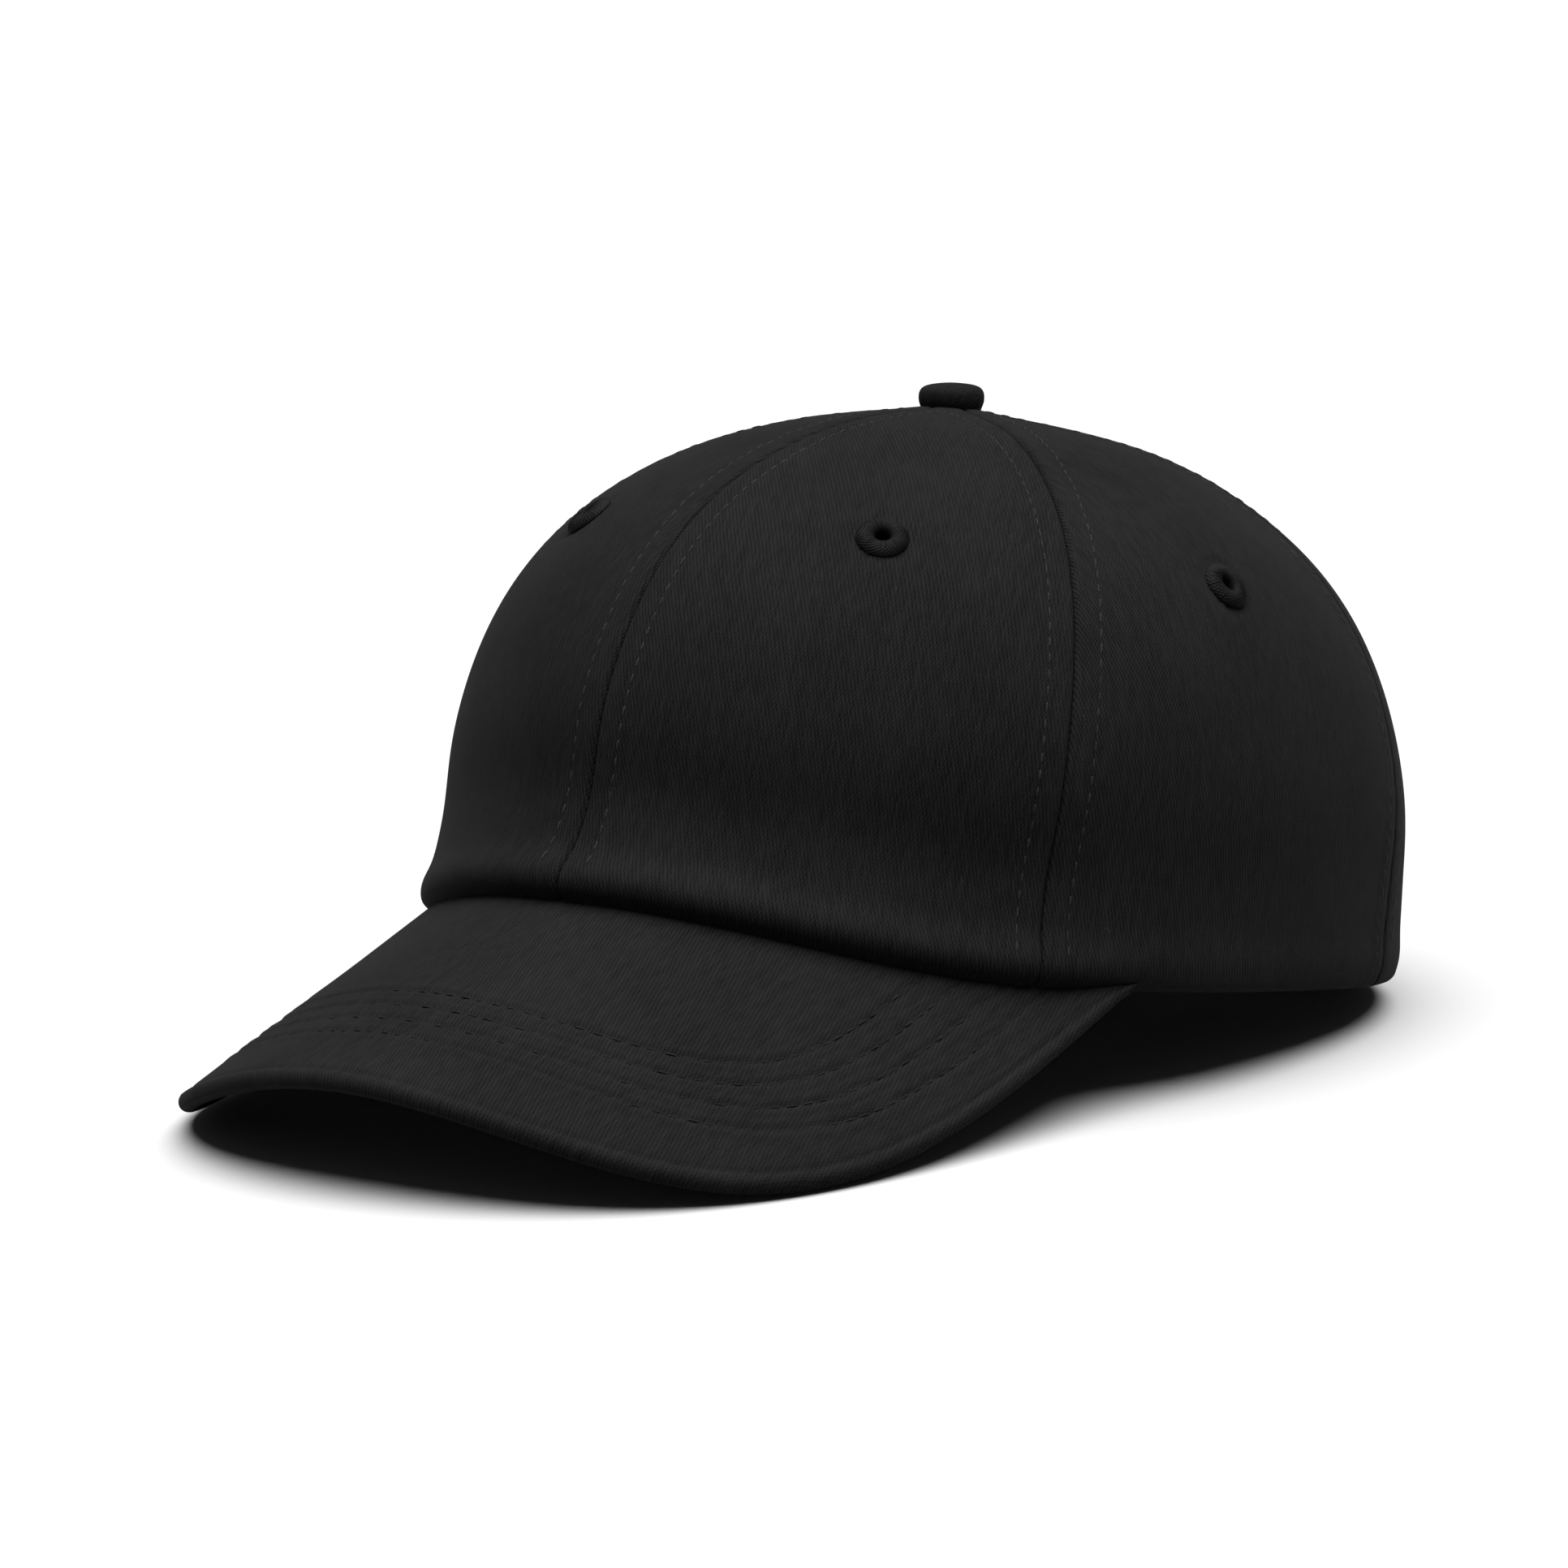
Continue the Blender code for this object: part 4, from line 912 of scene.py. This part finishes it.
def arch_binding():
    """Bias tape folded over the edge of the opening, with a stitch row near its outer edge."""
    half_width = RIM_BACK * math.radians(OPENING_HALF_ANGLE)
    outline = [
        (0.0060, 0.00035), (0.0061, 0.00062), (0.0057, 0.00086), (0.0048, 0.00084), (0.0042, 0.00086),
        (0.0025, 0.00105), (0.0010, 0.00112), (0.0000, 0.00100), (-0.0006, 0.00060), (-0.00085, 0.0),
        (-0.00085, -0.0008), (-0.0006, -0.0014), (0.0000, -0.00175), (0.0012, -0.00186), (0.0030, -0.00178),
        (0.0046, -0.00168), (0.0050, -0.00150), (0.0048, -0.00118), (0.0030, -0.00116), (0.0006, -0.00112),
        (-0.0001, -0.0008), (-0.0002, -0.0002), (0.0000, 0.00018), (0.0010, 0.00030), (0.0035, 0.00032)]
    spread, outward = np.array(outline).T

    def section(angle, spread, outward):
        """Points a distance outside the opening's edge and a distance out from the cloth."""
        scale = 1 + spread / half_width
        azimuth = BACK_SEAM + OPENING_HALF_ANGLE * scale * np.cos(angle)
        rise = np.maximum(OPENING_RISE * scale * np.sin(angle), 0.0)
        relief = crown_relief(azimuth, rise, seams=False)
        return crown_surface(azimuth, rise) + crown_normal(azimuth, rise) * (relief + outward)[..., None]

    top = math.pi / 2
    for side, (low, high) in (("right", (math.radians(2), top)), ("left", (math.radians(178), top))):
        angles = np.linspace(low, high, 150)
        angle = np.repeat(angles[:, None], len(spread), axis=1)
        rings = section(angle, spread, outward)
        if side == "right":
            rings = rings[:, ::-1]
        verts, faces, uv = tube(rings)
        piece = add_mesh(f"binding_cloth_{side}", verts, faces, uv, LOOKS["twill"], 70)
        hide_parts("arch_binding")
        bind(piece, side == "left")
        line = section(angles, 0.0046, 0.00082)
        azimuth = BACK_SEAM + OPENING_HALF_ANGLE * 1.1 * np.cos(angles)
        rise = np.maximum(OPENING_RISE * 1.1 * np.sin(angles), 0.0)
        inner = section(angles, 0.0040, -0.00172)
        normal = crown_normal(azimuth, rise)
        runs = [(line, normal), (inner, -normal)]
        row = stitches(f"binding_stitches_{side}", runs, LOOKS["thread"], 0.0028)
        bind(row, side == "left")


# ---------------------------------------------------------------- visor

VISOR_CLOTH = 0.0006     # thickness of the cloth
VISOR_GAP = 0.00001      # half the gap between the two cloths at the edge


def visor_grid(columns=300, rows=148):
    """(u, x, reach, inset) over the visor: from its outer edge in to the edge under the crown."""
    u = np.linspace(-1, 1, columns)
    outer = visor_curve(u, HALF_WIDTH, VISOR_REACH, END_REACH)
    inner = np.stack([HALF_WIDTH * u, rim_reach(HALF_WIDTH * u) - VISOR_TUCK - 0.001], axis=-1)
    way = inner - outer
    length = np.linalg.norm(way, axis=1)
    fine = np.array([0, 0.15, 0.35, 0.6, 0.9, 1.25, 1.7, 2.3, 3.0]) / 1000
    share = np.linspace(0, 1, rows)
    inset = np.empty((len(fine) + rows - 1, columns))
    for c in range(columns):
        edge = fine * min(1.0, length[c] * 0.5 / fine[-1])
        inset[:, c] = np.concatenate([edge, edge[-1] + (length[c] - edge[-1]) * share[1:]])
    spot = outer[None] + (way / np.maximum(length, 1e-9)[:, None])[None] * inset[..., None]
    return np.repeat(u[None], inset.shape[0], axis=0), spot[..., 0], spot[..., 1], inset


def visor_relief(x, reach, inset):
    """Grooves along the stitch rows, a slight swell between them and soft unevenness."""
    away = row_distance(x, reach)
    ripple = np.sin(x * 2 * math.pi / 0.0031 + reach * 900) * 0.25 + 0.75
    out = swell(away, -0.00040, 0, 0.00070) * ripple + swell(away, 0.00012, 0.0016, 0.0009)
    out = out - swell(inset, 0.00028, 0.0040, 0.0007) + swell(inset, 0.00012, 0.0024, 0.0010)
    calm = smooth(0.004, 0.015, inset)
    p = np.stack([x, reach, 0 * x], axis=-1)
    return out + 0.00011 * soft_waves(p * 1.2) * calm


def visor():
    """Twill over both faces of the board, meeting in a seam along the outer edge."""
    u, x, reach, inset = visor_grid()
    half = VISOR_THICK / 2
    # the board is thinner at its two ends, so both cloths are raised to keep the lower one on the table
    lift = VISOR_THICK - mix(VISOR_THICK, VISOR_THICK_END, smooth(0.88, 1.0, np.abs(u)))
    # the cloth turns down round the edge; inset is taken as distance along the turned cloth
    radius = half * 0.99
    angle = np.clip(inset / radius, 0, math.pi / 2)
    turned = radius * (1 - np.sin(angle))
    shift = radius * (1 - np.cos(angle)) - np.minimum(inset, radius * math.pi / 2)
    shift = shift * (1 - smooth(0.0, 0.012, np.maximum(inset - 0.004, 0)))
    inward = unit(np.gradient(np.stack([x, reach], axis=-1), axis=0))
    x = x + inward[..., 0] * shift
    reach = reach + inward[..., 1] * shift
    relief = visor_relief(x, reach, inset)
    table = np.linspace(0, HALF_WIDTH * 1.05, 400)
    stretch = arc_length(np.stack([table, ARCH_DROP * (table / ARCH_SPAN) ** ARCH_POWER], axis=-1))
    uv = np.stack([np.sign(x) * np.interp(np.abs(x), table, stretch), -reach], axis=-1)
    pull = VISOR_CLOTH * np.cos(angle)
    cover_depth = np.minimum(turned, half - VISOR_GAP)
    lining_depth = np.minimum(turned + VISOR_CLOTH + 0.00005, half - VISOR_GAP / 2)
    for face in ("top", "bottom"):
        if face == "top":
            depth, lining = cover_depth - relief, lining_depth
        else:
            depth, lining = VISOR_THICK - cover_depth + relief * 0.7, VISOR_THICK - lining_depth
        outer = visor_point(x, reach, depth - lift)
        inner = visor_point(x + inward[..., 0] * pull, reach + inward[..., 1] * pull, lining - lift)
        grids = (outer, inner, uv) if face == "top" else (outer[:, ::-1], inner[:, ::-1], uv[:, ::-1])
        cover = shell(f"visor_cloth_{face}", *grids, LOOKS["twill"], 70)
        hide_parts(f"visor_cover_{face}")
        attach(cover, "cap")
        visor_stitches(face)


def visor_stitches(face):
    """Four rows, sunk in their grooves."""
    runs = []
    for k in range(len(VISOR_ROWS)):
        x, reach = visor_row(k, 500).T
        deep = -VISOR_GAP if face == "top" else VISOR_THICK + VISOR_GAP
        base = visor_point(x, reach, deep)
        above = visor_point(x, reach, deep - 0.001)
        normal = unit(above - base) if face == "top" else unit(base - above)
        runs.append((base - normal * 0.00026, normal))
    # their thread is darkened with painted shade of the grooves
    row = stitches(f"visor_stitches_{face}", runs, LOOKS["groove_shaded_thread"], 0.0033, 0.80, 0.00019, 0.00008)
    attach(row, "cap")


# ---------------------------------------------------------------- button and eyelets

def on_crown(azimuth, rise, local):
    """Points given as (right, up, out) from a place on the crown."""
    centre = crown_skin(azimuth, rise, seams=False)
    out = crown_normal(azimuth, rise)
    level = min(rise, 0.99)
    right = unit(crown_surface(azimuth + 0.1, level) - crown_surface(azimuth - 0.1, level))
    up = np.cross(out, right)
    return centre + local[..., :1] * right + local[..., 1:2] * up + local[..., 2:] * out


def lathe(profile, steps):
    """Rings of points for a profile of (radius, height), bottom to top."""
    turn = np.linspace(0, 2 * math.pi, steps, endpoint=False)
    radius, height = np.asarray(profile, float).T
    return points(radius[:, None] * np.cos(turn), radius[:, None] * np.sin(turn), height[:, None])


def button():
    """Cloth drawn over a domed shell and gathered under its edge."""
    outline = np.array([
        (0.00545, -0.0014), (0.00560, -0.0004), (0.00585, 0.0004), (0.00612, 0.0010), (0.00628, 0.0016),
        (0.00630, 0.0025), (0.00618, 0.0033), (0.0058, 0.00395), (0.0051, 0.00440), (0.0040, 0.00472),
        (0.0026, 0.00490), (0.0012, 0.00498), (0.0, 0.0050)])
    length = arc_length(outline)
    fine = np.linspace(0, length[-1], 34)
    profile = np.stack([np.interp(fine, length, outline[:, i]) for i in range(2)], axis=-1)
    for _ in range(2):
        profile[1:-1] = (profile[:-2] + 2 * profile[1:-1] + profile[2:]) / 4
    inside = profile[:-1] - (0.00045, 0.00040)
    steps = 72
    rings = lathe(profile[:-1], steps)
    turn = np.linspace(0, 2 * math.pi, steps, endpoint=False)
    share = (1 - smooth(0.0004, 0.0030, profile[:-1, 1]))[:, None]
    pleat = 1 + share * (0.010 * np.sin(11 * turn + 0.7) + 0.008 * np.sin(17 * turn))
    dent = 0.00010 * np.sin(3 * turn + 1) * np.linspace(1, 0, 33)[:, None]
    rings[..., :2] *= pleat[..., None]
    rings[..., 2] += dent
    lining = lathe(np.maximum(inside, (0, outline[0, 1])), steps)
    rings = np.concatenate([lining[::-1], rings])
    verts = rings.reshape(-1, 3)
    count, cols = rings.shape[:2]
    faces = grid_faces(count, cols, wrap=True).tolist()
    top, low = len(verts), len(verts) + 1
    verts = np.concatenate([verts, [(0, 0, BUTTON_HEIGHT), (0, 0, BUTTON_HEIGHT - 0.0006)]])
    last = (count - 1) * cols
    faces += [(last + i, last + (i + 1) % cols, top) for i in range(cols)]
    faces += [((i + 1) % cols, i, low) for i in range(cols)]
    away = np.hypot(verts[:, 0], verts[:, 1])
    length = away + 0.9 * np.maximum(BUTTON_HEIGHT - verts[:, 2], 0)
    uv = verts[:, :2] * (length / np.maximum(away, 1e-6))[:, None]
    lean = np.array(Matrix.Rotation(BUTTON_LEAN, 3, "X"))
    apex = crown_surface(0.0, 1.0) + (0, 0, BUTTON_LIFT)
    piece = add_mesh("button_cloth", verts @ lean.T + apex, faces, uv, LOOKS["twill"], 80)
    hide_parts("button_cover")
    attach(piece, "cap")


def eyelets():
    """Thread wound over the edge of a hole: a ring of close radial stitches with a lip."""
    strands, per = 46, 4
    steps = strands * per
    turn = np.linspace(0, 2 * math.pi, steps, endpoint=False)
    profile = np.array([
        (0.00158, -0.0021), (0.00142, -0.0012), (0.00143, -0.0001), (0.00160, 0.00055), (0.00205, 0.00098),
        (0.0027, 0.00116), (0.0033, 0.00110), (0.0040, 0.00084), (0.0045, 0.00044), (0.00482, 0.00004),
        (0.00490, -0.00020), (0.0044, -0.00030), (0.0032, -0.0004), (0.0031, -0.00174), (0.0043, -0.00176),
        (0.0046, -0.00200), (0.0042, -0.00228), (0.0034, -0.00244), (0.0026, -0.00246), (0.0019, -0.00236)])
    # how much of the winding shows at each point of the profile
    wound = np.array([0, 0.4, 0.7, 0.9, 1, 1, 1, 1, 0.9, 0.7, 0.1, 0, 0, 0, 0, 0.3, 0.7, 0.9, 0.9, 0.5])
    strand = np.abs(np.sin(turn * strands / 2))
    random = np.random.RandomState(5)
    for side, sign in SIDES:
        for place in ("front", "side", "rear"):
            uneven = np.repeat(random.uniform(-1, 1, strands), per)
            rings = lathe(profile, steps)
            ridge = (strand - 0.55)[None] * wound[:, None]
            rings[..., 2] += 0.00012 * ridge + 0.00003 * uneven * wound[:, None]
            stretch = 1 + (0.000035 * uneven * wound[:, None] + 0.00005 * ridge) / profile[:, :1]
            rings[..., :2] *= stretch[..., None]
            if place != "front":
                # no stiff mesh lies behind these panels, so the inner rim sits closer
                rings[..., 2] += 0.0007 * smooth(-0.0006, -0.0016, profile[:, 1])[:, None]
            shape = on_crown(*eyelet_spot(place, sign), rings)
            count, cols = shape.shape[:2]
            faces = grid_faces(count, cols, wrap=True).tolist()
            last = (count - 1) * cols
            faces += [(last + i, last + (i + 1) % cols, (i + 1) % cols, i) for i in range(cols)]
            uv = np.stack(np.meshgrid(turn * 0.003, arc_length(profile)), axis=-1).reshape(-1, 2)
            faces = np.array(faces)[:, ::-1]
            ring = add_mesh(f"eyelet_thread_{place}_{side}", shape.reshape(-1, 3), faces, uv,
                            LOOKS["eyelet_thread"], 80)
            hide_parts(f"eyelet_{place}_{side}")
            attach(ring, "cap")


# ---------------------------------------------------------------- strap, tab and buckle

STRAP_ROW = 0.0026       # stitch row from the strap's edge


def strap_shell(angles, low, high):
    """The strap's folded cloth on its cone, with soft edges."""
    v = np.array([0, 0.012, 0.03, 0.06, 0.10, 0.13, 0.155, 0.18, 0.22, 0.3, 0.4, 0.5])
    v = np.concatenate([v, 1 - v[-2::-1]])
    angle, share = np.meshgrid(angles, v)
    height = mix(low, high, share)
    away = np.minimum(share, 1 - share) * (high - low)
    round_edge = np.sqrt(np.clip(1 - (1 - np.minimum(away / 0.0006, 1)) ** 2, 0, 1))
    middle, half = -STRAP_THICK / 2, STRAP_THICK / 2
    thick = half * np.maximum(round_edge, 0.15) * (1 - swell(away, 0.10, STRAP_ROW, 0.0006))
    wave = 0.00008 * np.sin(np.radians(angle) * 40) * np.sin(share * 3)
    outer = strap_point(angle, height, middle + thick + wave)
    inner = strap_point(angle, height, middle - thick + wave)
    uv = np.stack([height, np.radians(angle) * STRAP_RADIUS], axis=-1)
    return shell("strap_cloth", outer[:, ::-1], inner[:, ::-1], uv[:, ::-1], LOOKS["twill"], 70)


def strap():
    """Self-cloth strap with a stitch row along each edge, on both faces."""
    low, high = STRAP_MIDDLE - STRAP_WIDTH / 2, STRAP_MIDDLE + STRAP_WIDTH / 2
    angles = np.linspace(STRAP_TAIL_ANGLE, STRAP_LEFT_ANGLE, 240)
    piece = strap_shell(angles, low, high)
    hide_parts("strap")
    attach(piece, "strap_body")
    runs = []
    for height in (low + STRAP_ROW, high - STRAP_ROW):
        for outward, sign in ((-0.00005, 1), (-STRAP_THICK + 0.00005, -1)):
            line = strap_point(angles, height, outward - sign * 0.00008)
            normal = unit(line - strap_point(angles, height, outward - 0.01)) * sign
            runs.append((line, normal))
    row = stitches("strap_stitches", runs, LOOKS["thread"], 0.0029, radius=0.00017, lift=0.00004)
    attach(row, "strap_body")


def tab():
    """Loop of cloth from inside the right rear panel round the buckle's bar, with a stitch row across it."""
    tail = -TAB_LENGTH
    outer = ((tail, 0.00145), (-0.0140, 0.00145), (-0.0062, 0.00150), (-0.0032, 0.0025), (0.0003, 0.0025),
             (0.0007, 0.0021), (0.0007, 0.0007), (0.0003, 0.0003), (-0.0032, 0.0003), (-0.0062, 0.0003),
             (tail, 0.0003))
    inner = ((tail, 0.00105), (-0.0140, 0.00105), (-0.0062, 0.00108), (-0.0032, 0.0021), (0.0000, 0.0021),
             (0.0003, 0.0018), (0.0003, 0.0010), (0.0000, 0.0007), (-0.0032, 0.0007), (-0.0062, 0.0007),
             (tail, 0.0007))
    low, high = STRAP_MIDDLE - TAB_WIDTH / 2, STRAP_MIDDLE + TAB_WIDTH / 2
    half = np.array([0, 0.01, 0.03, 0.07, 0.12, 0.18, 0.3, 0.4])
    share = np.concatenate([half, [0.5], 1 - half[::-1]])
    pinch = 0.00012 * (1 - np.sqrt(np.clip(np.minimum(share, 1 - share) / 0.04, 0, 1)))
    sheets = []
    for path, hand in ((outer, -1), (inner, 1)):
        path = np.array(path)
        spots = np.linspace(0, len(path) - 1, 141)
        line = np.stack([np.interp(spots, np.arange(len(path)), path[:, i]) for i in range(2)], axis=-1)
        for _ in range(12):
            line[1:-1] = (line[:-2] + 2 * line[1:-1] + line[2:]) / 4
        way = unit(np.gradient(line, axis=0))
        across = np.stack([-way[:, 1], way[:, 0]], axis=-1)
        moved = line[None] + hand * across[None] * pinch[:, None, None]
        angle = PIN_ANGLE + np.degrees((FRAME_BACK + BAR_WIDTH + moved[..., 0]) / STRAP_RADIUS)
        sheets.append(strap_point(angle, mix(low, high, share)[:, None] + 0 * angle, moved[..., 1])[:, ::-1])
    uv = np.stack(np.broadcast_arrays(-arc_length(line)[None, ::-1], mix(low, high, share)[:, None]), axis=-1)
    cloth = shell("tab_cloth", sheets[0], sheets[1], uv, LOOKS["twill"], 70)
    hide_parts("buckle_tab")
    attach(cloth, "cap")
    height = np.linspace(low + 0.0012, high - 0.0012, 60)
    angle = PIN_ANGLE + np.degrees((FRAME_BACK + BAR_WIDTH - 0.0085) / STRAP_RADIUS) + 0 * height
    line = strap_point(angle, height, 0.00147)
    normal = unit(line - strap_point(angle, height, -0.01))
    row = stitches("tab_stitches", [(line, normal)], LOOKS["thread"], 0.0026)
    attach(row, "cap")


def paint(node, look):
    """Give a CAD node its finish."""
    item = frame["nodes"][node]
    item.data.materials.clear()
    item.data.materials.append(LOOKS[look])
    return item


def buckle():
    """The CAD's metal parts keep their shape, with softened edges."""
    for node in ("buckle_frame", "buckle_pin", "buckle_latch"):
        item = paint(node, "brass")
        bevel = item.modifiers.new("soft_edges", "BEVEL")
        bevel.width = 0.00016
        bevel.segments = 2
        bevel.limit_method = "ANGLE"
        bevel.angle_limit = math.radians(35)


def inner_parts():
    """The board in the visor and the metal inside the button are the CAD's own."""
    for node, look in (("visor_board", "board"), ("button_shell", "steel"), ("button_pin", "steel")):
        paint(node, look)


# ---------------------------------------------------------------- stage, light and camera

SUN_PLACE, SUN_WIDTH, SUN_STRENGTH = (0.12, -0.03, 1.0), 66, 14.4
WALL_LIGHT, CEILING_LIGHT = 1.02, 0.12
FLOOR_TONE, FLOOR_DARK, FLOOR_LIGHT = (0.226, 0.226, 0.227), (0.223, 0.223, 0.224), (0.231, 0.231, 0.232)
FLOOR_HALF = 9


def overhead_light():
    """A wide soft sun, nearly straight above."""
    data = bpy.data.lights.new("overhead_sun", "SUN")
    data.angle = math.radians(SUN_WIDTH)
    data.energy = SUN_STRENGTH
    lamp = bpy.data.objects.new("overhead_sun", data)
    lamp.rotation_euler = Vector(SUN_PLACE).to_track_quat("Z", "Y").to_euler()
    bpy.context.scene.collection.objects.link(lamp)


def room():
    """White walls low down, going over to a dimmer ceiling."""
    world = bpy.data.worlds.new("soft_room")
    world.use_nodes = True
    tree = world.node_tree
    place = tree.nodes.new("ShaderNodeTexCoord")
    split = tree.nodes.new("ShaderNodeSeparateXYZ")
    fade = tree.nodes.new("ShaderNodeMapRange")
    tree.links.new(place.outputs["Generated"], split.inputs[0])
    tree.links.new(split.outputs["Z"], fade.inputs[0])
    fade.interpolation_type = "SMOOTHSTEP"
    heights = {"From Min": 0.03, "From Max": 0.12, "To Min": WALL_LIGHT, "To Max": CEILING_LIGHT}
    for name, value in heights.items():
        fade.inputs[name].default_value = value
    background = tree.nodes["Background"]
    tree.links.new(fade.outputs[0], background.inputs["Strength"])
    background.inputs["Color"].default_value = (1.0, 1.0, 1.0, 1)
    bpy.context.scene.world = world


def studio():
    """Pale floor, light walls and soft light from above."""
    data = bpy.data.meshes.new("floor")
    corners = [(x * FLOOR_HALF, y * FLOOR_HALF, 0) for x, y in ((-1, -1), (1, -1), (1, 1), (-1, 1))]
    data.from_pydata(corners, [], [(0, 1, 2, 3)])
    m = Nodes("floor_paper", FLOOR_TONE, 0.9, specular=0.2)
    data.materials.append(m.done(m.blend(m.noise(6.0), FLOOR_DARK, FLOOR_LIGHT)))
    floor = bpy.data.objects.new("floor", data)
    bpy.context.scene.collection.objects.link(floor)
    room()
    overhead_light()
    bpy.context.scene.view_settings.view_transform = "Standard"


CAMERA_AZIMUTH, CAMERA_ELEVATION, CAMERA_TILT = np.radians((37.3531, 7.7811, 7.0856)).tolist()
CAMERA_DISTANCE, CAMERA_ASIDE, CAMERA_UP, CAMERA_LENS = 1.20783, -0.019658, 0.027907, 145.73


def camera():
    """The eye, set out from the level cap and then stood with it on the table."""
    back = Vector((math.sin(CAMERA_AZIMUTH) * math.cos(CAMERA_ELEVATION),
                   -math.cos(CAMERA_AZIMUTH) * math.cos(CAMERA_ELEVATION), math.sin(CAMERA_ELEVATION)))
    right = Vector((math.cos(CAMERA_AZIMUTH), math.sin(CAMERA_AZIMUTH), 0))
    up = back.cross(right)
    turn = Matrix((right, up, back)).transposed().to_4x4()
    place = right * CAMERA_ASIDE + up * CAMERA_UP + back * CAMERA_DISTANCE
    data = bpy.data.cameras.new("camera")
    data.sensor_width = 36
    data.lens = CAMERA_LENS
    eye = bpy.data.objects.new("camera", data)
    eye.matrix_world = REST @ Matrix.Rotation(CAMERA_TILT, 4, "X") @ Matrix.Translation(place) @ turn
    bpy.context.scene.collection.objects.link(eye)
    bpy.context.scene.camera = eye


camera()
studio()
sweatband()
crown_panels()
crown_stitches()
linings()
care_label()
arch_binding()
visor()
button()
eyelets()
strap()
tab()
buckle()
inner_parts()
